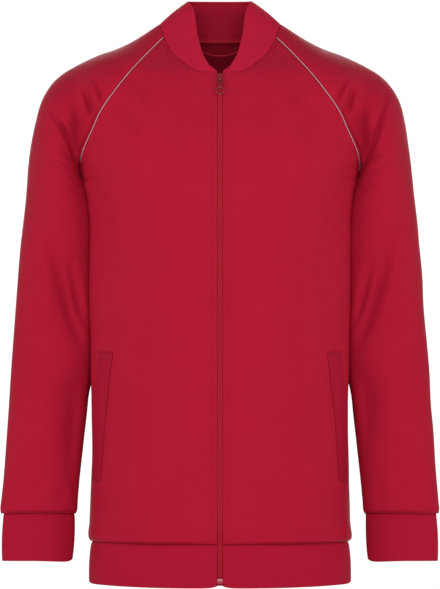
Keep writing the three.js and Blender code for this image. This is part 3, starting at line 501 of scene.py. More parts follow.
BACK_CREASES = {
    "right": [
        [154, -186, 100, -262, 7, 4.3, -2.6],
        [90, -24, 76, -48, 1, 3.2, -1.9],
        [60, -26, 46, -52, 1, 3.6, -1.3],
        [166, -214, 128, -262, 5, 5, -2.2],
        [142, -438, 60, -468, 5, 5, -1.9],
    ],
    "left": [
        [154, -196, 106, -284, 7, 4.3, -2.6],
        [88, -24, 78, -50, 1, 3.2, -1.9],
        [48, -28, 40, -54, 1, 3.6, -1.3],
        [165, -222, 130, -276, 5, 5, -2.1],
        [132, -470, 52, -444, 5, 5, -1.9],
    ],
}

# Places where the body's cloth is blown out over the hem band, by x on the front: middle, half width and how
# far
HEM_BULGES = [[-84, 46, 5.4], [74, 30, 3.6], [122, 38, 4.8], [-146, 16, 1.6]]

WELT = {
    "top_x": 138.3,
    "top_wide_x": 153.1,
    "top_z": -418.5,
    "bottom_x": 154.4,
    "bottom_wide_x": 165.2,
    "bottom_z": -586.5,
}
WELT_SLANT = 1.6
WELT_WALL = 1.2
WELT_LIFT = 0.1
WELT_LENGTH = 169
WELT_WIDTH = 14
WELT_STEP = 1.2
PIPING_RADIUS = 0.55
PIPING_LIFT = 0.75
SEAM_ALLOWANCE_DEPTH = 1.3
SEAM_ALLOWANCE_RADIUS = 1.1
NECK_TAPE_HEIGHT = 5
NECK_TAPE_INSET = 3.2
NECK_TAPE_WALL = 0.8
LOOP_HALF_WIDTH = 44
LOOP_DROP = 22
LOOP_RADIUS = 1.2

# Stitches and the close ones of a bar tack: pitch, length and radius of thread. A bar has rings of six
# points: where each is along half the bar, its size, and how far it is raised
TOPSTITCH = (3.4, 2.5, 0.32)
BAR_TACK = (0.8, 2.4, 0.4)
BAR_SIDES = 6
BAR_RINGS = table(
    "place size raised",
    [-1, 0.3, -0.6],
    [-0.75, 0.85, 0.1],
    [0, 1, 0.25],
    [0.75, 0.85, 0.1],
    [1, 0.3, -0.6],
)

# Plates of the slider and the pull's stem: half width, half height, roundness, middle, taper, front, rear,
# bevel
SLIDER_PLATES = [
    [4.4, 7.5, 3.4, 2, 0.08, -1.3, 0.2, 0.6],
    [4.3, 7.4, 3.4, 2, 0.08, 3.5, 4.7, 0.5],
    [2.2, 2, 2.4, 7.2, 0, 0, 3.7, 0.2],
]
PULL_STEM = [1.8, 3.9, 6, -8.2, -0.1, PULL_Y - 0.75, PULL_Y + 0.75, 0.4]

# The pull's frame and ring: half width, half height, roundness, middle, and the bar's width and thickness
PULL_BARS = [[2.55, 2.75, 4.5, -2.6, 1.2, 1.4], [4.8, 4.8, 2, -16.4, 2.6, 1.5]]


def smooth_curve(keys, values):
    """The monotone cubic through the rows of a table: a key's slope is the harmonic mean of the slopes on
    its two sides, or nothing at a turning point, so the curve never overshoots its rows."""
    order = np.argsort(keys)
    keys, values = keys[order], values[order]
    steps = np.diff(keys)
    slopes = np.diff(values) / steps
    product = slopes[:-1] * slopes[1:]
    total = np.where(product > 0, slopes[:-1] + slopes[1:], 1)
    middle = np.where(product > 0, 2 * product / total, 0)
    tangents = np.concatenate([slopes[:1], middle, slopes[-1:]])

    def at(x):
        i = np.clip(np.searchsorted(keys, x) - 1, 0, len(steps) - 1)
        t = np.clip((x - keys[i]) / steps[i], 0, 1)
        rise = values[i + 1] - values[i]
        a, b = tangents[i] * steps[i], tangents[i + 1] * steps[i]
        return values[i] + t * (a + t * (3 * rise - 2 * a - b + t * (a + b - 2 * rise)))

    return at


def curves_of(rows, key):
    """A smooth curve for each column of a table, as functions of its key column."""
    return {name: smooth_curve(rows[key], rows[name]) for name in rows if name != key}


BODY = curves_of(BODY_RINGS, "z")
HEM = curves_of(HEM_RINGS, "z")
SEAMS = curves_of(RAGLAN_SEAMS, "station")
STARTS = curves_of(FRONT_STARTS, "station")
SAG = curves_of(BACK_SAG, "station")
RIDGE = curves_of(SLEEVE_RIDGE, "station")
SHOULDER = curves_of(SHOULDER_CURVES, "station")
INNER = curves_of(SLEEVE_INNER, "station")
CUFF = curves_of(CUFF_RINGS, "z")
TOP = curves_of(COLLAR_TOP, "along")


def smooth_step(value):
    """0 below 0, 1 above 1, and a smooth rise between: 3 v squared less 2 v cubed."""
    share = np.clip(value, 0, 1)
    return share * share * (3 - 2 * share)


def unit(vectors):
    """Each vector divided by its length."""
    return vectors / np.maximum(np.linalg.norm(vectors, axis=-1, keepdims=True), 1e-9)


def bell(value):
    """1 at 0, falling off as e to the minus square."""
    return np.exp(-(value**2))


def bells(rows, distance):
    """The sum of bells over a distance, each with its height, place and width."""
    return sum(height * bell((distance - place) / width) for height, place, width in rows)


def fade(value, start, reach):
    """0 at the start and 1 a reach further on, with a smooth rise between. A reach below 0 rises the other
    way."""
    return smooth_step((value - start) / reach)


def powered(value, power):
    """A value's size to a power, with its sign."""
    return np.sign(value) * np.abs(value) ** power


def turns(count):
    """Angles evenly round a circle."""
    return 2 * np.pi * np.arange(count) / count


def cumulative(points, axis=0):
    """How far along a line of points each lies, from its first."""
    steps = np.linalg.norm(np.diff(points, axis=axis), axis=-1)
    start = np.zeros_like(np.take(steps, [0], axis=axis))
    return np.concatenate([start, np.cumsum(steps, axis=axis)], axis=axis)


def edged(length, step, low=True, high=True, closer=EDGE_STEPS):
    """Shares from 0 to 1 along a length, even but for closer steps at the ends that are rounded."""
    start, end = (closer[-1] + 0.6) * low, length - (closer[-1] + 0.6) * high
    middle = np.linspace(start, end, max(3, int((end - start) / step)))
    ends = [closer] * low + [middle] + [length - closer[::-1]] * high
    return np.concatenate(ends) / length


def resample(points, shares, values=None):
    """The points of a line at shares of its length, or values that belong to its points."""
    along = cumulative(points)
    values = points if values is None else values
    return np.stack([np.interp(shares * along[-1], along, values[:, k]) for k in range(3)], axis=-1)


def uneven(points, name):
    """A piece's unevenness, between about its height and minus that: the mean of waves in twelve directions,
    some spacing apart."""
    height, spacing, z_share, seed = UNEVEN[name]
    chance = np.random.default_rng(seed)
    directions = unit(chance.normal(size=(UNEVEN_WAVES, 3)))
    lengths = spacing * chance.uniform(0.7, 1.7, UNEVEN_WAVES)
    phases = chance.uniform(0, 2 * np.pi, UNEVEN_WAVES)
    swings = np.sin(2 * np.pi * ((points * [1, 1, z_share]) @ directions.T) / lengths + phases)
    return height * 2.2 * swings.mean(axis=-1)


def body_point(half, angle, z):
    """The body at an angle from the middle of the front or back (0) to the side (90 degrees): x is the half
    width by the sine, and y runs from the side's depth to the middle's by the cosine, both to the power 2 /
    roundness."""
    power = 2 / ROUNDNESS
    side = BODY[half + "_side"](z)
    x = BODY["half_width"](z) * np.abs(np.sin(angle)) ** power * np.sign(angle)
    y = side + (BODY[half](z) - side) * np.maximum(np.cos(angle), 0) ** power
    return np.stack([x, y, z + 0 * x], axis=-1)


def body_angle(x, z):
    """The angle at which the body is x from the middle."""
    return np.arcsin(np.clip(x / BODY["half_width"](z), 0, 1) ** (ROUNDNESS / 2))


def seam_point(half, station):
    """The raglan seam's point at a station, on the body's ring."""
    x, z = SEAMS[half + "_x"](station), SEAMS[half + "_z"](station)
    return body_point(half, body_angle(x, z), z)


def hem_dip(angle, z):
    """How far the lowest rows hang below their ends, most in the middle of the front and back."""
    near = smooth_step((BODY_HEM_Z + HEM_DIP_REACH - z) / HEM_DIP_REACH)
    return -HEM_SEAM_DIP * near * np.cos(angle) ** 2


def fold_depth(folds, x, z, crease=False):
    """The sum of the folds at points seen from the front. Across its line a fold is a bell, and a crease a
    sharper one with a low ridge at each side. Along it a fold goes as the sine, and a crease as a power of
    it, so that both run out at the ends."""
    run_out = CREASE_RUN_OUT if crease else 1
    total = np.zeros_like(x)
    for from_x, from_z, to_x, to_z, bow, width, depth in folds:
        along_x, along_z = to_x - from_x, to_z - from_z
        length = np.hypot(along_x, along_z)
        along = ((x - from_x) * along_x + (z - from_z) * along_z) / length**2
        inside = np.clip(along, 0, 1)
        across = ((x - from_x) * along_z - (z - from_z) * along_x) / length
        across = np.abs(across - bow * 4 * inside * (1 - inside)) / width
        shape = np.exp(-(across**CREASE_SLOPE)) + bells(CREASE_RIDGE, across) if crease else bell(across)
        total += depth * np.sin(np.pi * inside) ** run_out * shape
    return total


def grid_normals(points, closed_from=None):
    """The normal at each point of a grid, square to the lines through its neighbours, and facing away from
    the body's axis or, on rows that close into rings, away from the middle of each row."""
    rows, columns = points.shape[:2]
    left = points[:, np.maximum(np.arange(columns) - 1, 0)].copy()
    right = points[:, np.minimum(np.arange(columns) + 1, columns - 1)].copy()
    if closed_from is not None:
        left[closed_from:, 0] = points[closed_from:, -2]
        right[closed_from:, -1] = points[closed_from:, 1]
    above = points[np.maximum(np.arange(rows) - 1, 0)]
    below = points[np.minimum(np.arange(rows) + 1, rows - 1)]
    normals = unit(np.cross(right - left, below - above))
    if closed_from is None:
        inside = points * [0, 0, 1]
    else:
        inside = points.mean(axis=1, keepdims=True)
    return normals * np.sign((normals * (points - inside)).sum())


def grid_quads(rows, columns):
    """The quads of a grid whose points are numbered row by row."""
    corner = (np.arange(rows - 1)[:, None] * columns + np.arange(columns - 1)).ravel()
    return np.stack([corner, corner + 1, corner + columns + 1, corner + columns], axis=-1)


def ring_faces(rings, sides, closed=False):
    """The quads between rings of points numbered ring by ring. A closed row of rings joins its last to its
    first, and an open one has a cap at each end."""
    i, k = np.meshgrid(np.arange(rings if closed else rings - 1), np.arange(sides), indexing="ij")
    a, b = i * sides + k, i * sides + (k + 1) % sides
    quads = np.stack([a, b, b + sides, a + sides], axis=-1).reshape(-1, 4) % (rings * sides)
    if closed:
        return [quads]
    return [quads, np.array([np.arange(sides)[::-1], (rings - 1) * sides + np.arange(sides)])]


def volume(points, faces):
    """Six times the volume inside closed faces: the sum of each fan triangle's triple product."""
    total = 0
    for group in faces:
        for k in range(1, group.shape[1] - 1):
            a, b, c = (points[group[:, n]] for n in (0, k, k + 1))
            total += (a * np.cross(b, c)).sum()
    return total


def mesh_object(name, points, faces, material, uv=None, merge=None, smooth=True):
    """A mesh object from points in millimetres and groups of faces with the same number of corners. merge
    gives the point that stands for each, so that a grid can close on itself, and uv a pattern's place in
    metres."""
    faces = [np.asarray(group) for group in faces]
    merge = np.arange(len(points)) if merge is None else merge
    placed = [merge[group] for group in faces]
    if volume(points, placed) < 0:
        faces, placed = [g[:, ::-1] for g in faces], [g[:, ::-1] for g in placed]
    corners = np.concatenate([group.ravel() for group in placed])
    used, corners = np.unique(corners, return_inverse=True)
    sizes = np.concatenate([np.full(len(group), group.shape[1]) for group in placed])
    mesh = bpy.data.meshes.new(name)
    mesh.vertices.add(len(used))
    mesh.vertices.foreach_set("co", (points[used] * MM).astype(np.float32).ravel())
    mesh.loops.add(len(corners))
    mesh.loops.foreach_set("vertex_index", corners.astype(np.int32))
    mesh.polygons.add(len(sizes))
    mesh.polygons.foreach_set("loop_start", (np.cumsum(sizes) - sizes).astype(np.int32))
    mesh.polygons.foreach_set("use_smooth", np.full(len(sizes), smooth))
    if uv is not None:
        layer = mesh.uv_layers.new(name="cloth")
        order = np.concatenate([group.ravel() for group in faces])
        layer.data.foreach_set("uv", (uv[order] * MM).astype(np.float32).ravel())
    mesh.update(calc_edges=True)
    mesh.validate()
    mesh.materials.append(material)
    made = bpy.data.objects.new(name, mesh)
    bpy.context.scene.collection.objects.link(made)
    return made


def edge_distance(points, sides, closed_from=None):
    """How far each point of a grid is from the nearest of its edges that sides names. Rings have no side
    edges."""
    across, down = cumulative(points, axis=1), cumulative(points, axis=0)
    distances = {
        "left": across,
        "right": across[:, -1:] - across,
        "top": down,
        "bottom": down[-1:] - down,
    }
    if closed_from is not None:
        for side in ("left", "right"):
            distances[side][closed_from:] = np.inf
    return np.minimum.reduce([distances[side] for side in sides])


def shell(name, points, normals, wall, material, sides, closed_from=None, inner=0, centre=0):
    """A thin closed wall: the grid, a second grid one thickness behind it, and rims. Within half a wall of
    an edge the two close in as a circle does, so that the edge is round. inner moves the second grid, and
    the pattern's u counts from the centre column."""
    rows, columns = points.shape[:2]
    edge = edge_distance(points, sides, closed_from) if sides else np.full((rows, columns), np.inf)
    close = 1 - np.sqrt(1 - (1 - np.clip(edge / (wall / 2), 0, 1)) ** 2)
    pinch = (0.4 * wall * close)[..., None]
    front = points - normals * pinch
    behind = points - normals * (wall - pinch + np.asarray(inner)[..., None])
    quads = grid_quads(rows, columns)
    after = rows * columns
    number = np.arange(after).reshape(rows, columns)
    open_rows = rows if closed_from is None else min(rows, closed_from + 1)
    rims = [number[0], number[-1]]
    if open_rows > 1:
        rims += [number[:open_rows, 0], number[:open_rows, -1]]
    rim_quads = []
    for k, rim in enumerate(rims):
        a, b = (rim[:-1], rim[1:]) if k in (0, 3) else (rim[1:], rim[:-1])
        rim_quads.append(np.stack([b, a, a + after, b + after], axis=-1))
    faces = [quads, quads[:, ::-1] + after, *rim_quads]
    merge = np.arange(2 * after)
    if closed_from is not None:
        last = number[closed_from:, -1]
        merge[last], merge[last + after] = number[closed_from:, 0], number[closed_from:, 0] + after
    across, down = cumulative(points, axis=1), cumulative(points, axis=0)
    across = across - across[:, centre : centre + 1]
    uv = np.stack([across, down.mean(axis=1, keepdims=True) + 0 * across], axis=-1).reshape(-1, 2)
    place = np.concatenate([front.reshape(-1, 3), behind.reshape(-1, 3)])
    return mesh_object(name, place, faces, material, np.concatenate([uv, uv]), merge)


def square_to(along, normals):
    """Normals made square to the directions along a line, and the directions across both."""
    up = unit(normals - along * (normals * along).sum(axis=-1, keepdims=True))
    return up, np.cross(along, up)


def round_ring(up, across, sides, flat):
    """A ring of directions for each point of a line, flat times as high as wide."""
    angle = turns(sides)[:, None]
    return across[:, None] * np.cos(angle) + flat * up[:, None] * np.sin(angle)


def tube(name, points, normals, radius, material, sides=10, flat=1):
    """A cord along points: rings in the plane of the normal and the direction across it, flat times as high
    as wide, that close to a small round at both ends."""
    ring = round_ring(*square_to(unit(np.gradient(points, axis=0)), normals), sides, flat)
    distance = cumulative(points)
    end = np.minimum(distance, distance[-1] - distance)
    size = radius * np.sqrt(1 - 0.9 * (1 - np.clip(end / radius, 0, 1)) ** 2)
    place = points[:, None] + ring * size[:, None, None]
    uv = np.stack(np.broadcast_arrays(distance[:, None], radius * turns(sides)), axis=-1).reshape(-1, 2)
    return mesh_object(name, place.reshape(-1, 3), ring_faces(len(points), sides), material, uv)


def bars(name, centres, along, normals, length, radius, material, flat=0.7):
    """Many small rounded bars, such as stitches or zip teeth: rings of points, narrow at the ends, which dip
    into what the bar lies on."""
    along = unit(along)
    up, across = square_to(along, normals)
    place, size, raised = (BAR_RINGS[column][:, None] for column in ("place", "size", "raised"))
    middle = centres[:, None] + along[:, None] * place * length / 2 + up[:, None] * raised * radius
    ring = round_ring(up, across, BAR_SIDES, flat)
    points = middle[:, :, None] + ring[:, None] * (size * radius)[:, None]
    first = (np.arange(len(centres)) * len(place) * BAR_SIDES)[:, None, None]
    faces = [(first + group).reshape(-1, group.shape[1]) for group in ring_faces(len(place), BAR_SIDES)]
    return mesh_object(name, points.reshape(-1, 3), faces, material)


def linear(hex_colour):
    """An sRGB hex colour as linear red, green, blue and alpha."""
    value = np.array([int(hex_colour[i : i + 2], 16) / 255 for i in (1, 3, 5)])
    low, high = value / 12.92, ((value + 0.055) / 1.055) ** 2.4
    return (*np.where(value <= 0.04045, low, high).tolist(), 1)


def node(tree, kind, inputs=None, **settings):
    """Adds a node with its settings, and links or sets its inputs."""
    made = tree.nodes.new(kind)
    for name, value in settings.items():
        setattr(made, name, value)
    for key, value in (inputs or {}).items():
        if isinstance(value, bpy.types.NodeSocket):
            tree.links.new(value, made.inputs[key])
        else:
            made.inputs[key].default_value = value
    return made


def new_material(name):
    """An empty material, with its node tree."""
    material = bpy.data.materials.new(name)
    material.use_nodes = True
    material.node_tree.nodes.clear()
    return material, material.node_tree


def finish_material(tree, shader):
    """Links a shader to the material's output."""
    node(tree, "ShaderNodeOutputMaterial", {"Surface": shader.outputs[0]})


def noise(tree, place, patch, detail, roughness=0.5):
    """Soft patches, some millimetres across, as a factor about a half."""
    inputs = {"Vector": place, "Scale": 1 / (patch * MM), "Detail": detail, "Roughness": roughness}
    return node(tree, "ShaderNodeTexNoise", inputs).outputs["Fac"]


def waves(tree, place, apart, direction, distortion=0):
    """Bands some millimetres apart, as a factor. Blender's own are a tenth of pi apart at a scale of 1."""
    inputs = {"Vector": place, "Scale": np.pi / 10 / (apart * MM), "Distortion": distortion, "Detail": 1}
    return node(tree, "ShaderNodeTexWave", inputs, bands_direction=direction).outputs["Fac"]


def bump(tree, height, strength, depth, below=None):
    """Relief some millimetres deep from a factor, on top of another relief."""
    inputs = {"Height": height, "Strength": strength, "Distance": depth * MM}
    if below is not None:
        inputs["Normal"] = below
    return node(tree, "ShaderNodeBump", inputs).outputs[0]


def combined(tree, operation, *values):
    """A sum or product of factors."""
    return node(tree, "ShaderNodeMath", dict(enumerate(values)), operation=operation).outputs[0]


def finish_surface(tree, factor, dark, light, **inputs):
    """Links a surface to the output, with a colour between two by a factor. The inputs' names have low lines
    for spaces."""
    colours = {"Factor": factor, "A": linear(dark), "B": linear(light)}
    colour = node(tree, "ShaderNodeMix", colours, data_type="RGBA").outputs["Result"]
    spaced = {name.replace("_", " "): value for name, value in inputs.items()}
    finish_material(tree, node(tree, "ShaderNodeBsdfPrincipled", {"Base Color": colour, **spaced}))


# The soft red sheen of brushed polyester, which the knitted pieces share
KNITTED = {"Specular_Tint": linear("#d0304a"), "Sheen_Weight": 0.06, "Sheen_Tint": linear("#c02440")}


def knitted_cloth(name, dark, light, rough):
    """Warp-knitted polyester tricot, brushed smooth: a fine vertical wale with a soft, slightly silky sheen,
    small dents where it has been handled, and a colour that hardly varies. Its wales are 0.8 mm apart in the
    real cloth, and are drawn 1.6 mm apart so that they show."""
    material, tree = new_material(name)
    place = node(tree, "ShaderNodeTexCoord").outputs["UV"]
    wales, loops = waves(tree, place, 1.603, "X", 0.6), waves(tree, place, 1.366, "Y", 0.8)
    knit = combined(tree, "MULTIPLY", wales, loops)
    dented = bump(tree, noise(tree, place, 31.25, 2, 0.4), 0.35, 1.6)
    finish_surface(
        tree,
        noise(tree, place, 71.43, 3, 0.55),
        dark,
        light,
        Roughness=rough,
        Specular_IOR_Level=0.2,
        Sheen_Roughness=0.4,
        Normal=bump(tree, knit, 0.3, 0.2, dented),
        **KNITTED,
    )
    return material


def rib_knit(name, dark, light):
    """One by one rib, knitted from fine yarn: upright wales, matt, with painted shade down in each furrow.
    Its wales are 2 mm apart in the real rib, and are drawn 4 mm apart so that they show."""
    material, tree = new_material(name)
    place = node(tree, "ShaderNodeTexCoord").outputs["UV"]
    wales = waves(tree, place, 4.028, "X")
    # The wales darken the colour in each furrow: painted shade.
    furrow_shade = combined(tree, "MULTIPLY_ADD", wales, 0.2, 0.2)
    fine = bump(tree, waves(tree, place, 1.496, "Y", 0.8), 0.25, 0.2)
    finish_surface(
        tree,
        combined(tree, "MULTIPLY_ADD", furrow_shade, noise(tree, place, 50, 3), 0.25),
        dark,
        light,
        Roughness=0.8,
        Specular_IOR_Level=0.16,
        Sheen_Roughness=0.45,
        Normal=bump(tree, wales, 0.14, 0.4, fine),
        **KNITTED,
    )
    return material


def yarn(name, dark, light, rough, apart=0.5236):
    """Twisted or woven thread, such as piping, tape and sewing thread: a slanting grain about half a
    millimetre apart, lighter on its bands, partly the thread's own tone and partly painted sheen where the
    satin threads catch the light."""
    material, tree = new_material(name)
    grain = waves(tree, node(tree, "ShaderNodeTexCoord").outputs["Object"], apart, "DIAGONAL", 1.2)
    relief = bump(tree, grain, 0.4, 0.2)
    # The grain's light bands are painted sheen, on top of the thread's own tone.
    finish_surface(tree, grain, dark, light, Roughness=rough, Specular_IOR_Level=0.15, Normal=relief)
    return material


def enamel(name, dark, light):
    """Baked red enamel over die-cast zinc: a glossy coat, a faint ripple as of sprayed paint, and a colour
    that is a shade darker where the paint ran thin."""
    material, tree = new_material(name)
    ripple = noise(tree, node(tree, "ShaderNodeTexCoord").outputs["Object"], 3.846, 2)
    finish_surface(
        tree,
        ripple,
        dark,
        light,
        Roughness=0.26,
        Specular_IOR_Level=0.4,
        Coat_Weight=0.4,
        Coat_Roughness=0.08,
        Normal=bump(tree, ripple, 0.15, 0.3),
    )
    return material


# The welts' cloth, cut across the cloth, is a darker copy of the tricot: painted shade, as each welt lies
# behind
# # the panel's edge. The collar's rib is a lighter copy of the rib: painted light on the collar. The tack
# thread is
# # dark: painted shade along the welts' tacks. The box's enamel is paler than the slider's.
TRICOT = knitted_cloth("knitted_tricot", "#a91930", "#b01b33", 0.62)
SHADED_WELT_TRICOT = knitted_cloth("knitted_tricot_across_shaded", "#9f162d", "#a61730", 0.66)
RIB = rib_knit("rib_knit", "#a71831", "#b01b34")
LIT_RIB = rib_knit("rib_knit_painted_light", "#b41c37", "#bd203b")
PIPING = yarn("satin_piping", "#c39aa1", "#d2adb3", 0.6)
TAPE = yarn("woven_tape", "#bc1e30", "#ca2638", 0.8)
THREAD = yarn("sewing_thread", "#9c162b", "#ac1b33", 0.7)
COIL = yarn("moulded_coil", "#ac172a", "#ba1d31", 0.6, 1.0472)
SHADED_TACK_THREAD = yarn("tack_thread_painted_shade", "#7c1120", "#8c1524", 0.7)
ENAMEL = enamel("red_enamel", "#7a0c18", "#8a101d")
BOX_ENAMEL = enamel("red_enamel_box", "#a01a2e", "#ac1f36")


def place_piece(piece, body, slot, *nodes):
    """A finished piece: it moves with a body and stands for the nodes, whose solids it hides. The slot is
    not used.
    """
    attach(piece, body)
    if nodes:
        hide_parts(*nodes)
    return piece


def sewn_shell(name, slot, stands_for, points, normals, wall, material, sides=ALL_EDGES, **more):
    """A cloth or rib shell on the jacket, in place of its solid."""
    made = shell(name, points, normals, wall, material, sides, **more)
    return place_piece(made, "jacket", slot, stands_for)


def stitches(name, points, normals, thread=THREAD, gauge=TOPSTITCH):
    """A row of stitches along a line that lies on cloth, one every pitch."""
    pitch, length, radius = gauge
    total = cumulative(points)[-1]
    shares = (np.arange(int(total / pitch)) + 0.5) * pitch / total
    ahead = resample(points, np.minimum(shares + 0.5 / total, 1))
    behind = resample(points, np.maximum(shares - 0.5 / total, 0))
    facing = unit(resample(points, shares, normals))
    row = bars(name, resample(points, shares), ahead - behind, facing, length, radius, thread)
    place_piece(row, "jacket", "shell_cloth")


# Rows of the cloth: stations even along the sleeve's ridge above and below the armpit, then level heights
def ridge_point(station):
    """The sleeve's outer ridge at a station."""
    return np.stack([RIDGE[k](station) for k in "xyz"], axis=-1)


def even_stations(first, last, step, low=False, high=False):
    """Stations whose points on the ridge are a step apart."""
    fine = np.linspace(first, last, 600)
    along = cumulative(ridge_point(fine))
    return np.interp(edged(along[-1], step, low, high) * along[-1], along, fine)


UPPER_STATIONS = even_stations(0, ARMPIT_STATION, CLOTH_STEP, low=True)
LOWER_STATIONS = even_stations(ARMPIT_STATION, CUFF_STATION, CLOTH_STEP, high=True)[1:]
BODY_LENGTH = ARMPIT_Z - BODY_HEM_Z
BODY_HEIGHTS = ARMPIT_Z - BODY_LENGTH * edged(BODY_LENGTH, CLOTH_STEP, low=False)[1:]
ARMPIT_ROW = len(UPPER_STATIONS) - 1
FRONT_SHARE = edged(FRONT_WIDTH, CLOTH_STEP)


def side_seam_share(z):
    """How much of a seam's roll shows: all of it along the raglan seam, and a third down the body's side."""
    return 1 - 0.7 * fade(z, ARMPIT_Z, -30)


def corner_fullness(distance, z):
    """The body's front corners between the arms: blown out a bell's height, some way forward of the side
    seam, and nearer to the seam as the raglan seam comes forward above the armpit."""
    away = CORNER["away"] - CORNER["nearer"] * fade(z, CORNER["change_z"], CORNER["change_reach"])
    ends = fade(z, CORNER["top_z"], -CORNER["top_reach"]) * fade(z, CORNER["low_z"], CORNER["low_reach"])
    return CORNER["height"] * bell((distance - away) / CORNER["width"]) * ends


def within(name, share, z):
    """1 well inside a body panel, and 0 at the ends of its rows and at the hem seam."""
    start, end = ROW_FADES[name]
    return smooth_step(share * start) * smooth_step((1 - share) * end) * fade(z, BODY_HEM_Z, HEM_FADE)


def lift(points, normals, height):
    """Points moved along their normals."""
    return points + normals * height[..., None]


def front_panel(side):
    """The front: rows go in angle and height from the neckline and the zip to the raglan seam, and below the
    armpit to the side. Folds and creases move it along its normals."""
    z_start, z_end = STARTS["z"](UPPER_STATIONS), SEAMS["front_z"](UPPER_STATIONS)
    angle_start = body_angle(STARTS["x"](UPPER_STATIONS), z_start)
    angle_end = body_angle(SEAMS["front_x"](UPPER_STATIONS), z_end)
    z_start, z_end = (np.concatenate([z, BODY_HEIGHTS]) for z in (z_start, z_end))
    angle_start = np.concatenate([angle_start, body_angle(FRONT_EDGE_X, BODY_HEIGHTS)])
    angle_end = np.concatenate([angle_end, np.full(len(BODY_HEIGHTS), np.pi / 2)])
    share = FRONT_SHARE
    angle = angle_start[:, None] + (angle_end - angle_start)[:, None] * share
    z = z_start[:, None] + (z_end - z_start)[:, None] * share
    points = body_point("front", angle, z)
    points[..., 2] += hem_dip(angle, z)
    points[..., 0] *= SIDES[side]
    normals = grid_normals(points)
    x, z = np.abs(points[..., 0]), points[..., 2]
    near = within("front_creases", share, z)
    height = fold_depth(FRONT_FOLDS[side], x, z) * within("front_folds", share, z)
    height += fold_depth(FRONT_CREASES[side], x, z, crease=True) * near
    height += uneven(points, "front") * near
    from_side = edge_distance(points, ["right"])
    height += bells(SEAM_ROLL, from_side) * side_seam_share(z) + corner_fullness(from_side, z)
    height += bells(NECK_ROLL, neckline_distance(points)) + hem_puff(points)
    points = lift(points, normals, height)
    return points, grid_normals(points)


def neckline_distance(points):
    """How far a front panel's points are from the neckline, which is the start of its first rows."""
    rows = np.flatnonzero(UPPER_STATIONS <= ZIP_STATION)
    distances = [np.linalg.norm(points - start, axis=-1) for start in points[rows, 0][::2]]
    return np.minimum.reduce(distances)


def hem_puff(points):
    """Cloth gathered into the hem band: blown out above it, most at the front's bulges, pulled in at the
    seam but for the zip, and lightly fluted."""
    x, up = points[..., 0], points[..., 2] - points[-1:, :, 2]
    more = sum(far * bell((x - at) / wide) for at, wide, far in HEM_BULGES) * (points[..., 1] < 0)
    flutes = uneven(points, "hem_flutes") * bells(HEM_FLUTES, up)
    puff = bells(HEM_PUFF, up) + more * bells(HEM_BULGE, up) + flutes
    return puff + bells(HEM_PULL_IN, up) * fade(np.abs(x), 8, 30)


def back_panel():
    """The back: rows from one raglan seam to the other, sagging in their middle near the neck, and level
    rows from side to side below the armpit."""
    z = np.concatenate([SEAMS["back_z"](UPPER_STATIONS), BODY_HEIGHTS])
    x = np.concatenate([SEAMS["back_x"](UPPER_STATIONS), BODY["half_width"](BODY_HEIGHTS)])
    sag = np.concatenate([SAG["sag"](UPPER_STATIONS), 0 * BODY_HEIGHTS])
    share = edged(BACK_WIDTH, CLOTH_STEP)
    angle = body_angle(x, z)[:, None] * (2 * share - 1)
    level = z[:, None] - sag[:, None] * (1 - (2 * share - 1) ** 2)
    points = body_point("back", angle, level)
    points[..., 2] += hem_dip(angle, level)
    normals = grid_normals(points)
    x, z = points[..., 0], points[..., 2]
    near = within("back_creases", share, z)
    height = uneven(points, "back") * near
    for side, sign in SIDES.items():
        folds = fold_depth(BACK_FOLDS[side], np.abs(x), z) * within("back_folds", share, z)
        creases = fold_depth(BACK_CREASES[side], np.abs(x), z, crease=True) * near
        height += (np.sign(x) == sign) * (folds + creases)
    height += bells(SEAM_ROLL, edge_distance(points, ["left", "right"])) * side_seam_share(z)
    height += bells(NECK_ROLL, edge_distance(points, ["top"])) + hem_puff(points)
    points = lift(points, normals, height)
    return points, grid_normals(points)


def bezier(points, t):
    """The cubic through four control points at t: each point weighted by its Bernstein polynomial."""
    weights = [(1 - t) ** 3, 3 * t * (1 - t) ** 2, 3 * t**2 * (1 - t), t**3]
    return sum(p[:, None] * w[None, :, None] for p, w in zip(points, weights))


def sleeve_grid(stations, share):
    """Rows of the sleeve from the front seam over the ridge to the back seam, even along each half. A half
    is a cubic that leaves the seam in the shoulder's direction and meets the ridge going straight back or
    forth."""
    top = ridge_point(stations)
    open_row = (stations < ARMPIT_STATION)[:, None]
    inner_z = INNER["z"](stations)
    pressed = SLEEVE_PRESS * fade(inner_z, PRESS_LOW_Z, PRESS_REACH)
    low = np.stack([INNER["x"](stations) - pressed, top[:, 1], inner_z], axis=-1)
    seams = [np.where(open_row, seam_point(half, stations), low) for half in ("front", "back")]
    outward = unit((top - (seams[0] + seams[1]) / 2) * [1, 0, 1])
    turn = np.radians(np.where(open_row[:, 0], SHOULDER["turn"](stations), 90))[:, None]
    ring = INNER["depth"](stations) / 1.5
    columns = ("seam_reach", "ridge_reach")
    reach, ridge_reach = (np.where(open_row[:, 0], SHOULDER[k](stations), ring)[:, None] for k in columns)
    fine = np.linspace(0, 1, 120)
    even = 2 * np.minimum(share, 1 - share)
    halves = []
    for seam, forward, want in zip(seams, (-1, 1), (even[share <= 0.5], even[share > 0.5])):
        forward = np.array([0, forward, 0])
        leave = outward * np.cos(turn) + forward * np.sin(turn)
        line = bezier([seam, seam + leave * reach, top + forward * ridge_reach, top], fine)
        halves.append(np.stack([resample(row, want) for row in line]))
    return np.concatenate(halves, axis=1)


def flattened(points, stations):
    """Rings below the armpit with flatter fronts and backs: the depth over the ring's own greatest, to a
    power that falls from 1 to 0.76."""
    power = 1 - FLATTER * fade(stations, ARMPIT_STATION, FLATTER_STATIONS)[:, None]
    middle = ridge_point(stations)[:, 1:2]
    depth = points[..., 1] - middle
    most = np.abs(depth).max(axis=1, keepdims=True)
    return np.stack([points[..., 0], middle + most * powered(depth / most, power), points[..., 2]], axis=-1)


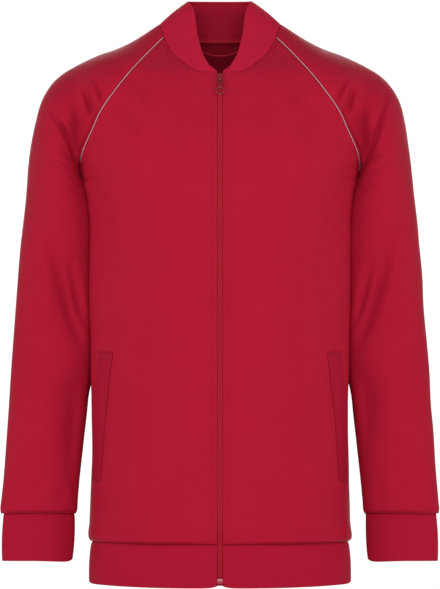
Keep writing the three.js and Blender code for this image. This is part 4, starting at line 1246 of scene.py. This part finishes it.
def eased(points, share):
    """Rows near the armpit averaged with the rows about them by a bell's weights, but not beside the
    seams."""
    rows = np.arange(len(points))
    steps = np.arange(-EASE_REACH, EASE_REACH + 1)
    weights = bell(steps / (EASE_REACH / 2))
    mean = sum(w * points[np.clip(rows + k, 0, len(points) - 1)] for k, w in zip(steps, weights))
    mean = mean / weights.sum()
    from_seam = smooth_step((np.minimum(share, 1 - share) - 0.02) * 12)
    share_of_mean = bell((rows - ARMPIT_ROW) / EASED_ROWS)[:, None] * from_seam
    return points + (mean - points) * share_of_mean[..., None]


def sleeve_panel(side):
    """The sleeve, with its folds front and back faded out at the ridge, the seams, and where it meets the
    body. Its end is gathered into the cuff. Where it leans on the body it is pressed flat. Folds move it
    mostly straight back or forth, so that a deep one stays where its table puts it."""
    sign = SIDES[side]
    stations = np.concatenate([UPPER_STATIONS, LOWER_STATIONS])
    share = edged(SLEEVE_GIRTH, SLEEVE_STEP)
    points = eased(flattened(sleeve_grid(stations, share), stations), share)
    points[..., 0] *= sign
    closed = ARMPIT_ROW
    normals = grid_normals(points, closed)
    x, z = np.abs(points[..., 0]), points[..., 2]
    lower = (np.arange(len(stations)) >= closed)[:, None]
    seam = np.minimum(share, 1 - share)
    from_seam = smooth_step(seam * SLEEVE_SEAM_FADE)
    from_inner = x - INNER["x"](stations)[:, None]
    from_ridge = smooth_step(np.abs(share - 0.5) * RIDGE_FADE)
    soft = from_ridge * np.where(lower, fade(from_inner, 0, INNER_FOLD_FADE), from_seam)
    near = np.where(lower, fade(from_inner, 0, INNER_CREASE_FADE), from_seam)
    folded = 0 * x
    for half, folds, creases in (
        (share <= 0.5, SLEEVE_FOLDS, SLEEVE_CREASES),
        (share > 0.5, SLEEVE_BACK_FOLDS, SLEEVE_BACK_CREASES),
    ):
        folded += half * fold_depth(folds[side], x, z) * soft
        folded += half * fold_depth(creases[side], x, z, crease=True) * from_ridge * near
    height = uneven(points, side + "_sleeve") * near
    height += bells(SEAM_ROLL, edge_distance(points, ["left", "right"], closed))
    around = seam * cumulative(points, axis=1)[:, -1:]
    height += bells(SLEEVE_FULLNESS, around) * fade(z, ARMPIT_Z, -40) * fade(z, -480, 80)
    down = cumulative(points, axis=0)
    to_cuff = down[-1:] - down
    height += bells(SLEEVE_END_PUFF, to_cuff)
    height += uneven(points, side + "_sleeve_flutes") * bells(SLEEVE_END_FLUTES, to_cuff)
    points = lift(lift(points, normals, height), unit(normals * [0.3, 1, 0.3]), folded)
    below = points[closed:, :, 2]
    touching = BODY["half_width"](below) - SLEEVE_SINK - bells(PIT_SINK, below)
    points[closed:, :, 0] = sign * np.maximum(sign * points[closed:, :, 0], touching)
    return points, grid_normals(points, closed), closed


def neckline():
    """The neckline's left half, from the middle of the back over the shoulder to the zip: the back's top
    edge, the sleeve's, and the front's."""
    share = np.linspace(0, 1, 60)
    x, z = SEAMS["back_x"](0), SEAMS["back_z"](0)
    angle = body_angle(x, z) * share
    back = body_point("back", angle, z - SAG["sag"](0) * (1 - share**2))
    top = sleeve_grid(np.array([0.0]), np.linspace(0, 1, 61))[0][::-1]
    stations = np.linspace(0, ZIP_STATION, 80)
    start_z = STARTS["z"](stations)
    front = body_point("front", body_angle(STARTS["x"](stations), start_z), start_z)
    return np.concatenate([back, top[1:-1], front])


def collar_band(base, along, up):
    """The collar above the neckline: straight from the lifted foot to the top edge, swelling outwards in its
    middle as 4 u (1 - u), less towards the front."""
    top = np.stack([TOP[k](along) for k in "xyz"], axis=-1)
    foot = base + unit(top - base) * COLLAR_LIFT
    points = foot[None] + (top - foot)[None] * up[:, None, None]
    outward = unit(points * [1, 1, 0])
    swell = COLLAR_BELLY * 4 * up * (1 - up)
    return points + outward * (swell[:, None] * (1 - along**3)[None])[..., None]


def mirrored(half):
    """A line that starts in the middle of the back, with its mirror image before it."""
    return np.concatenate([(half * [-1, 1, 1])[..., ::-1, :][..., :-1, :], half], axis=-2)


def hem_band():
    """The hem band: rows round the body from one front edge to the other, with softly rounded lower corners
    at the front and at the sides, swelling a little between its seam and its edge."""
    height = RIB_TOP_Z - RIB_BOTTOM_Z
    down = edged(height, RIB_STEP)[:, None]
    z = RIB_TOP_Z - height * down
    start = np.arcsin((FRONT_EDGE_X / HEM["half_width"](z)) ** (ROUNDNESS / 2))
    angle = start + (2 * np.pi - 2 * start) * edged(HEM_GIRTH, HEM_STEP)
    power = 2 / ROUNDNESS
    before = np.cos(angle) > 0
    x = HEM["half_width"](z) * powered(np.sin(angle), power)
    y = np.where(before, HEM["front"](z), HEM["back"](z)) * np.abs(np.cos(angle)) ** power
    corners = HEM_ZIP_CORNER * np.exp(-(np.abs(x) - FRONT_EDGE_X) / HEM_ZIP_CORNER_REACH) * before
    corners += HEM_SIDE_CORNER * np.abs(np.sin(angle)) ** 60
    dip = (HEM_SEAM_DIP + (HEM_DIP - HEM_SEAM_DIP) * down) * np.cos(angle) ** 2
    points = np.stack([x, y, z - dip + fade(down, 0.8, 0.2) * corners], axis=-1)
    from_top = height * down
    swell = (HEM_SWELL * np.sin(np.pi * down) + uneven(points, "hem_band")) * fade(from_top, 0, SWELL_START)
    relief = bells(HEM_BAND_TOP, from_top) + bells(HEM_BAND_EDGE, height - from_top)
    points = lift(points, grid_normals(points), swell + relief)
    return points, grid_normals(points)


def cuff_band(side):
    """A cuff: rows of ellipses, flattened as it hangs, whose inner lower corner is round. It swells a little
    between its seam and its edge."""
    height = CUFF_TOP_Z - CUFF_BOTTOM_Z
    down = edged(height, RIB_STEP)[:, None]
    z = CUFF_TOP_Z - height * down
    angle = np.linspace(0, 2 * np.pi, CUFF_COLUMNS)[None]
    outer, inner = CUFF["outer_x"](z), CUFF["inner_x"](z)
    x = (outer + inner) / 2 + (outer - inner) / 2 * np.cos(angle)
    y = CUFF["y"](z) + CUFF["depth"](z) / 2 * np.sin(angle)
    inward = np.maximum(0, -np.cos(angle))
    rise = fade(down, 0.75, 0.25) * (CUFF_CORNER * inward**12 - CUFF_SLANT * inward)
    points = np.stack([x * SIDES[side], y, z + rise], axis=-1)
    from_top = height * down
    swell = CUFF_SWELL * np.sin(np.pi * down) + uneven(points, side + "_cuff")
    relief = bells(CUFF_TOP, from_top) + bells(CUFF_EDGE, height - from_top)
    points = lift(points, grid_normals(points, 0), swell * fade(from_top, 0, SWELL_START) + relief)
    points[:, -1] = points[:, 0]
    return points, grid_normals(points, 0)


def front_depth(z):
    """The depth of the middle of the front at a height, on the body's cloth or on the hem band."""
    near = smooth_step((BODY_HEM_Z + HEM_DIP_REACH - z) / HEM_DIP_REACH)
    cut = z + HEM_SEAM_DIP * near
    return np.where(cut > BODY_HEM_Z, BODY["front"](cut), HEM["front"](np.maximum(cut, RIB_BOTTOM_Z)))


def front_facing(z):
    """The direction that the middle of the front faces at a height."""
    rise = front_depth(z + 4) - front_depth(z - 4)
    return unit(np.stack([0 * rise, -8 + 0 * rise, rise], axis=-1))


def zip_line(heights, recess):
    """Points in the middle of the front, some depth behind it, and their normals."""
    facing = front_facing(heights)
    points = np.stack([0 * heights, front_depth(heights), heights], axis=-1)
    return points - facing * recess, facing


# The cloth shells, each in place of its solid
panels = {}
for side in SIDES:
    points, normals = front_panel(side)
    panels[side] = {"front": points, "front_normals": normals}
    sides = ["left", "right", "bottom"]
    sewn_shell(
        f"{side}_front_cloth", "shell_cloth", f"front_{side}", points, normals, CLOTH_WALL, TRICOT, sides
    )
    points, normals, closed = sleeve_panel(side)
    panels[side].update({"sleeve": points, "sleeve_normals": normals})
    sewn_shell(
        f"{side}_sleeve_cloth",
        "shell_cloth",
        f"sleeve_{side}",
        points,
        normals,
        CLOTH_WALL,
        TRICOT,
        closed_from=closed,
    )
    points, normals = cuff_band(side)
    sides = ["top", "bottom"]
    sewn_shell(
        f"{side}_cuff_rib", "rib_knit", f"cuff_{side}", points, normals, RIB_WALL, RIB, sides, closed_from=0
    )

back_points, back_normals = back_panel()
middle_column = back_points.shape[1] // 2
sewn_shell(
    "back_cloth", "shell_cloth", "back", back_points, back_normals, CLOTH_WALL, TRICOT, centre=middle_column
)
sewn_shell("hem_rib", "rib_knit", "hem_band", *hem_band(), RIB_WALL, RIB)

# The collar, with two pressed lines inside its top edge, and soft upright creases inside its back
neck = neckline()
neck_shares = np.linspace(0, 1, COLLAR_COLUMNS)
collar_up = edged(COLLAR_HEIGHT, RIB_STEP)
collar_points = mirrored(collar_band(resample(neck, neck_shares), neck_shares, collar_up))
collar_normals = grid_normals(collar_points)
collar_points = lift(collar_points, collar_normals, uneven(collar_points, "collar"))
below_top = COLLAR_HEIGHT * (1 - collar_up)[:, None]
creased = uneven(collar_points, "collar_creases") * fade(below_top, 0, 8)
creased = creased * fade(collar_points[..., 1], -10, 20)
# The collar's lighter rib is painted light.
sewn_shell(
    "stand_collar_rib",
    "rib_knit",
    "collar",
    collar_points,
    collar_normals,
    RIB_WALL,
    LIT_RIB,
    ["left", "right", "top"],
    inner=creased - bells(COLLAR_EDGE, below_top),
    centre=COLLAR_COLUMNS - 1,
)


def seam_cord(name, slot, edge, facing, out, radius, material, ends, count, *stands_for):
    """A cord along a seam, moved out from the cloth's edge, from one share of its length to another."""
    path = edge + facing * out
    shares = np.linspace(*ends, count)
    cord = tube(name, resample(path, shares), resample(path, shares, facing), radius, material)
    place_piece(cord, "jacket", slot, *stands_for)


# Piping in the groove of each front raglan seam, down to the pit
rows = slice(0, ARMPIT_ROW + 1)
front_edges = {
    side: [panel[key][rows, -1] for key in ("front", "front_normals")] for side, panel in panels.items()
}
for side, (edge, facing) in front_edges.items():
    facing = unit(facing + panels[side]["sleeve_normals"][rows, 0])
    name, ends = f"{side}_raglan_piping", (0.004, 0.992)
    seam_cord(
        name, "piping", edge, facing, PIPING_LIFT, PIPING_RADIUS, PIPING, ends, 150, f"piping_{side}"
    )

# The overlocked allowances inside, which close the front raglan seams, and the back ones with the side seams
for side, sign in SIDES.items():
    column = -1 if sign > 0 else 0
    back_edge = (back_points[:-4, column], back_normals[:-4, column])
    for half, count, (edge, facing) in (("front", 150, front_edges[side]), ("back", 300, back_edge)):
        name, ends = f"{side}_{half}_seam_allowance", (0.004, 0.996)
        depth, radius = -SEAM_ALLOWANCE_DEPTH, SEAM_ALLOWANCE_RADIUS
        seam_cord(name, "shell_cloth", edge, facing, depth, radius, THREAD, ends, count)


def between(grid, row, column):
    """Values between a grid's points at fractional rows and columns, by the shares of the four around
    them."""
    i = np.clip(row.astype(int), 0, grid.shape[0] - 2)
    k = np.clip(column.astype(int), 0, grid.shape[1] - 2)
    down, over = (row - i)[..., None], (column - k)[..., None]
    upper = grid[i, k] * (1 - over) + grid[i, k + 1] * over
    lower = grid[i + 1, k] * (1 - over) + grid[i + 1, k + 1] * over
    return upper * (1 - down) + lower * down


def front_place(x, z):
    """The row and column of the front panel's grid, below the armpit, at a distance from the middle and a
    height."""
    levels = np.append(ARMPIT_Z, BODY_HEIGHTS)
    start = body_angle(FRONT_EDGE_X, z)
    share = (body_angle(x, z) - start) / (np.pi / 2 - start)
    row = ARMPIT_ROW + np.interp(-z, -levels, np.arange(len(levels)))
    return row, np.interp(share, FRONT_SHARE, np.arange(len(FRONT_SHARE)))


def welt_grid(side):
    """A pocket welt on the front: a slanted strip whose points are the panel's own, moved out by its
    wall."""
    down = edged(WELT_LENGTH, CLOTH_STEP)[:, None]
    over = edged(WELT_WIDTH, WELT_STEP, closer=NARROW_EDGE_STEPS)[None]
    x = (WELT["top_x"] + (WELT["top_wide_x"] - WELT["top_x"]) * over) * (1 - down)
    x = x + (WELT["bottom_x"] + (WELT["bottom_wide_x"] - WELT["bottom_x"]) * over) * down
    z = WELT["top_z"] + (WELT["bottom_z"] - WELT["top_z"]) * down + WELT_SLANT * over * (1 - down)
    row, column = front_place(x, z)
    points = between(panels[side]["front"], row, column)
    normals = unit(between(panels[side]["front_normals"], row, column))
    points = lift(points, normals, WELT_LIFT + WELT_WALL + uneven(points, side + "_welt"))
    return points, grid_normals(points)


# The welts, with stitches four columns in from each long edge, and bar tacks in two rows above and one below
for side in SIDES:
    points, normals = welt_grid(side)
    name, solid = f"{side}_pocket_welt_cloth", f"pocket_welt_{side}"
    # The welt's darker cloth is painted shade.
    sewn_shell(name, "shell_cloth", solid, points, normals, WELT_WALL, SHADED_WELT_TRICOT)
    for k, column in enumerate((4, -5)):
        stitches(f"{side}_welt_stitches_{k + 1}", points[5:-5, column], normals[5:-5, column])
    # The dark tack thread in the top and bottom rows is painted shade.
    for k, (row, thread) in enumerate([(5, SHADED_TACK_THREAD), (10, THREAD), (-6, SHADED_TACK_THREAD)]):
        stitches(f"{side}_welt_tack_{k + 1}", points[row, 1:-1], normals[row, 1:-1], thread, BAR_TACK)

# Topstitching on the body cloth below the neck seam, and beside the zip
for side in SIDES:
    points, normals = panels[side]["front"], panels[side]["front_normals"]
    rows = np.flatnonzero(UPPER_STATIONS <= ZIP_STATION)[3:]
    into = unit(points[rows, 12] - points[rows, 0])
    line = points[rows, 0] + into * 4 + normals[rows, 4] * 0.1
    stitches(f"{side}_neck_stitches", line, normals[rows, 4])
    rows = slice(int(np.flatnonzero(UPPER_STATIONS > ZIP_STATION)[2]), -6)
    stitches(f"{side}_zip_stitches", points[rows, 6] + normals[rows, 6] * 0.05, normals[rows, 6])
facing = back_normals[6, 6:-6]
stitches("back_neck_stitches", back_points[6, 6:-6] + facing * 0.05, facing)


def neck_tape_grid():
    """The neck tape: a strip inside the back of the neckline, upright, leaning in a little."""
    half = resample(neck, np.linspace(0, 0.52, 90))
    height = NECK_TAPE_HEIGHT * (0.5 - edged(NECK_TAPE_HEIGHT, 0.8, closer=NARROW_EDGE_STEPS))[:, None]
    outward = unit(half * [1, 1, 0])
    inset = NECK_TAPE_INSET + np.maximum(0, height) * 0.3
    points = half[None] - outward[None] * inset[..., None]
    points[..., 2] += height
    return mirrored(points)


tape_points = neck_tape_grid()
sewn_shell(
    "neck_tape_weave", "tape", "neck_tape", tape_points, grid_normals(tape_points), NECK_TAPE_WALL, TAPE
)

# The loop hangs as a flat-bottomed curve between its two sewn ends
loop_end = neck[np.argmax(neck[:, 0] >= LOOP_HALF_WIDTH)]
loop_inset = NECK_TAPE_INSET + NECK_TAPE_WALL + SEAM_GAP + LOOP_RADIUS
loop_end = loop_end - unit(loop_end * [1, 1, 0]) * loop_inset
across = np.linspace(-1, 1, 70)
loop_path = np.stack(
    [
        across * loop_end[0],
        neck[0, 1] - loop_inset + (loop_end[1] - neck[0, 1] + loop_inset) * across**2,
        loop_end[2] - LOOP_DROP * (1 - np.abs(across) ** 2.4),
    ],
    axis=-1,
)
loop = tube("hanging_loop", loop_path, loop_path * 0 + [0, -1, 0], LOOP_RADIUS, TAPE, flat=0.6)
place_piece(loop, "jacket", "tape", "hanger_loop")

# The zip: a row of teeth from each side on a thin strip, between the woven tapes
tooth_z = np.arange(COIL_BOTTOM_Z + 1, COIL_TOP_Z, TOOTH_PITCH)
for side, sign in SIDES.items():
    heights = tooth_z + (TOOTH_PITCH / 2 if sign > 0 else 0)
    points, facing = zip_line(heights, TOOTH_RECESS)
    points[:, 0] = sign * TOOTH_X
    name, sideways = f"{side}_zip_teeth", facing * 0 + [1, 0, 0]
    teeth = bars(name, points, sideways, facing, TOOTH_LENGTH, TOOTH_RADIUS, COIL, flat=0.8)
    if sign > 0:
        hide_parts("zip_coil")
    place_piece(teeth, "jacket", "zip_coil")
    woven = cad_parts[f"zip_tape_{side}"].data.materials
    woven.clear()
    woven.append(TAPE)
strip_points, strip_facing = zip_line(np.linspace(COIL_TOP_Z, COIL_BOTTOM_Z, 240), STRIP_RECESS)
strip = strip_points[:, None] + STRIP_X[None, :, None] * np.array([1, 0, 0])
strip_normals = np.repeat(strip_facing[:, None], len(STRIP_X), axis=1)
strip_piece = shell("zip_coil_cord", strip, strip_normals, STRIP_WALL, COIL, ALL_EDGES)
place_piece(strip_piece, "jacket", "zip_coil")


def zip_head(points):
    """Points of the slider's own frame (x across, y into the jacket, z up the zip) put where it sits."""
    facing = front_facing(np.array(SLIDER_Z))
    up = np.array([0, facing[2], -facing[1]])
    centre = np.array([0, float(front_depth(np.array(SLIDER_Z))), SLIDER_Z])
    return centre + points[..., :1] * [1, 0, 0] - points[..., 1:2] * facing + points[..., 2:3] * up


def outline_of(half_width, half_height, roundness, middle=0, taper=0):
    """A rounded rectangle's outline: a superellipse whose width shrinks towards its lower end by the
    taper."""
    angle = turns(OUTLINE_POINTS)
    x = half_width * powered(np.cos(angle), 2 / roundness)
    z = half_height * powered(np.sin(angle), 2 / roundness)
    return np.stack([x * (1 + taper * z / half_height), z + middle], axis=-1)


def rounded_plate(half_width, half_height, roundness, middle, taper, low, high, bevel):
    """A plate with rounded edges: its outline, drawn in towards the centre by a quarter circle near both
    faces, at depths from low to high. Gives its points and faces."""
    outline = outline_of(half_width, half_height, roundness, middle, taper)
    turn = np.linspace(0, np.pi / 2, 5)
    inset = bevel * (1 - np.sin(turn))
    inset = np.concatenate([inset, inset[::-1]])
    drop = bevel * (1 - np.cos(turn))
    depth = np.concatenate([low + drop, high - drop[::-1]])
    rings = outline[None] + unit([0, middle] - outline)[None] * inset[:, None, None]
    depths = np.repeat(depth[:, None], OUTLINE_POINTS, axis=1)
    place = np.stack([rings[..., 0], depths, rings[..., 1]], axis=-1)
    return place.reshape(-1, 3), ring_faces(len(inset), OUTLINE_POINTS)


def closed_bar(half_width, half_height, roundness, middle, width, thick):
    """A closed bar along an outline in the pull's plane, with a rounded rectangle as its section."""
    outline = outline_of(half_width, half_height, roundness, middle)
    path = np.insert(outline, 1, PULL_Y, axis=1)
    straight_back = np.array([0, 1, 0])
    across = np.cross(unit(np.roll(path, -1, axis=0) - np.roll(path, 1, axis=0)), straight_back)
    angle = turns(BAR_POINTS)[:, None]
    wide = powered(np.cos(angle), 0.6) * width / 2
    high = powered(np.sin(angle), 0.6) * thick / 2
    place = path[:, None] + across[:, None] * wide + straight_back * high
    return place.reshape(-1, 3), ring_faces(len(path), BAR_POINTS, closed=True)


def joined(name, parts, material):
    """One object from several closed parts, each with its points and groups of faces."""
    points, faces, start = [], [], 0
    for part_points, part_faces in parts:
        turned = volume(part_points, part_faces) < 0
        points.append(part_points)
        faces += [(group[:, ::-1] if turned else group) + start for group in part_faces]
        start += len(part_points)
    return mesh_object(name, np.concatenate(points), faces, material)


# The slider: a front plate, a rear plate, the diamond between them, and the crown that holds the pull
plates = [rounded_plate(*row) for row in SLIDER_PLATES]
slider = joined("slider_body", [(zip_head(place), faces) for place, faces in plates], ENAMEL)
place_piece(slider, "jacket", "zip_enamel", "zip_slider")
crown_angle = np.linspace(0, np.pi, 24)
crown_y = CROWN_FOOT_Y - CROWN_HEIGHT * np.sin(crown_angle) ** CROWN_POWER
crown_path = np.stack([0 * crown_angle, crown_y, CROWN_HALF_LENGTH * np.cos(crown_angle)], axis=-1)
crown_points = zip_head(crown_path)
sideways = zip_head(crown_path + [1, 0, 0]) - crown_points
crown = tube("slider_crown", crown_points, sideways, CROWN_RADIUS, ENAMEL, flat=1.1)
place_piece(crown, "jacket", "zip_enamel")

# The pull: a frame that hangs under the crown, a ring and a stem
parts = [*(closed_bar(*row) for row in PULL_BARS), rounded_plate(*PULL_STEM)]
pull = joined("ring_pull", [(zip_head(place), faces) for place, faces in parts], ENAMEL)
place_piece(pull, "pull", "zip_enamel", "zip_pull")

# The box at the zip's lower end fills its solid's box
box_low, box_high = (np.array(corner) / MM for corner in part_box("zip_box"))
half, middle = (box_high - box_low) / 2, (box_high + box_low) / 2
box = rounded_plate(half[0], half[2], BOX_ROUNDNESS, middle[2], 0, box_low[1], box_high[1], BOX_BEVEL)
place_piece(joined("zip_bottom_box", [box], BOX_ENAMEL), "jacket", "zip_enamel", "zip_box")


def floor_disc():
    """A round floor below the jacket, 4.3 m in radius."""
    angle = turns(FLOOR_SIDES)
    x, y = FLOOR_RADIUS * np.cos(angle), FLOOR_RADIUS * np.sin(angle)
    rim = np.stack([x, y, 0 * angle + FLOOR_Z], axis=-1)
    material, tree = new_material("pale_floor")
    grain = node(tree, "ShaderNodeTexNoise", {"Scale": 3, "Detail": 2}).outputs["Fac"]
    finish_surface(tree, grain, "#f2f2f2", "#f6f6f6", Roughness=0.9)
    return mesh_object("floor", rim, [np.arange(FLOOR_SIDES)[None]], material, smooth=False)


def backdrop_card():
    """A white card far behind the jacket, lit so that it is white in the picture."""
    corners = np.array([[-5, 60, -5], [5, 60, -5], [5, 60, 5], [-5, 60, 5]], float) / MM
    material, tree = new_material("white_card")
    shader = node(tree, "ShaderNodeEmission", {"Color": (1, 1, 1, 1), "Strength": 1.05})
    finish_material(tree, shader)
    return mesh_object("backdrop", corners, [np.arange(4)[None]], material, smooth=False)


floor_disc()
backdrop_card()


def area_light(name, place, size, power):
    """A soft square light that faces the jacket's middle."""
    lamp = bpy.data.lights.new(name, "AREA")
    lamp.size, lamp.energy = size, power
    light = bpy.data.objects.new(name, lamp)
    light.location = place
    towards = Vector((0, 0, -0.35)) - light.location
    light.rotation_euler = towards.to_track_quat("-Z", "Y").to_euler()
    bpy.context.scene.collection.objects.link(light)


# Softboxes: place and size in metres, and power in watts
SOFTBOXES = {
    "front_softbox": ((0.0, -6.0, 0.8), 3.6, 152),
    "left_softbox": ((-6.2, -3.2, 0.2), 3.2, 146),
    "right_softbox": ((6.2, -3.2, 0.2), 3.2, 146),
    "back_softbox": ((0.0, 6.4, 1.4), 4, 200),
}
for name, (place, size, power) in SOFTBOXES.items():
    area_light(name, place, size, power)

# The even light from all round, and a camera far away with a long lens, level with the middle of the
# picture, whose height it takes in. Lengths are metres.
WORLD_STRENGTH = 0.32
CAMERA_DISTANCE = 24
PICTURE_HEIGHT = 0.7657
PICTURE_MIDDLE_Z = -0.34385
SENSOR_MM = 36

world = bpy.data.worlds.new("studio")
world.use_nodes = True
background = world.node_tree.nodes["Background"]
background.inputs["Color"].default_value = (1, 1, 1, 1)
background.inputs["Strength"].default_value = WORLD_STRENGTH
bpy.context.scene.world = world
bpy.context.scene.view_settings.view_transform = "Standard"

camera_data = bpy.data.cameras.new("camera")
camera_data.sensor_width = SENSOR_MM
camera_data.lens = SENSOR_MM * CAMERA_DISTANCE / PICTURE_HEIGHT
camera_data.clip_end = 200
camera = bpy.data.objects.new("camera", camera_data)
camera.location = (0, -CAMERA_DISTANCE, PICTURE_MIDDLE_Z)
camera.rotation_euler = (np.pi / 2, 0, 0)
bpy.context.scene.collection.objects.link(camera)
bpy.context.scene.camera = camera
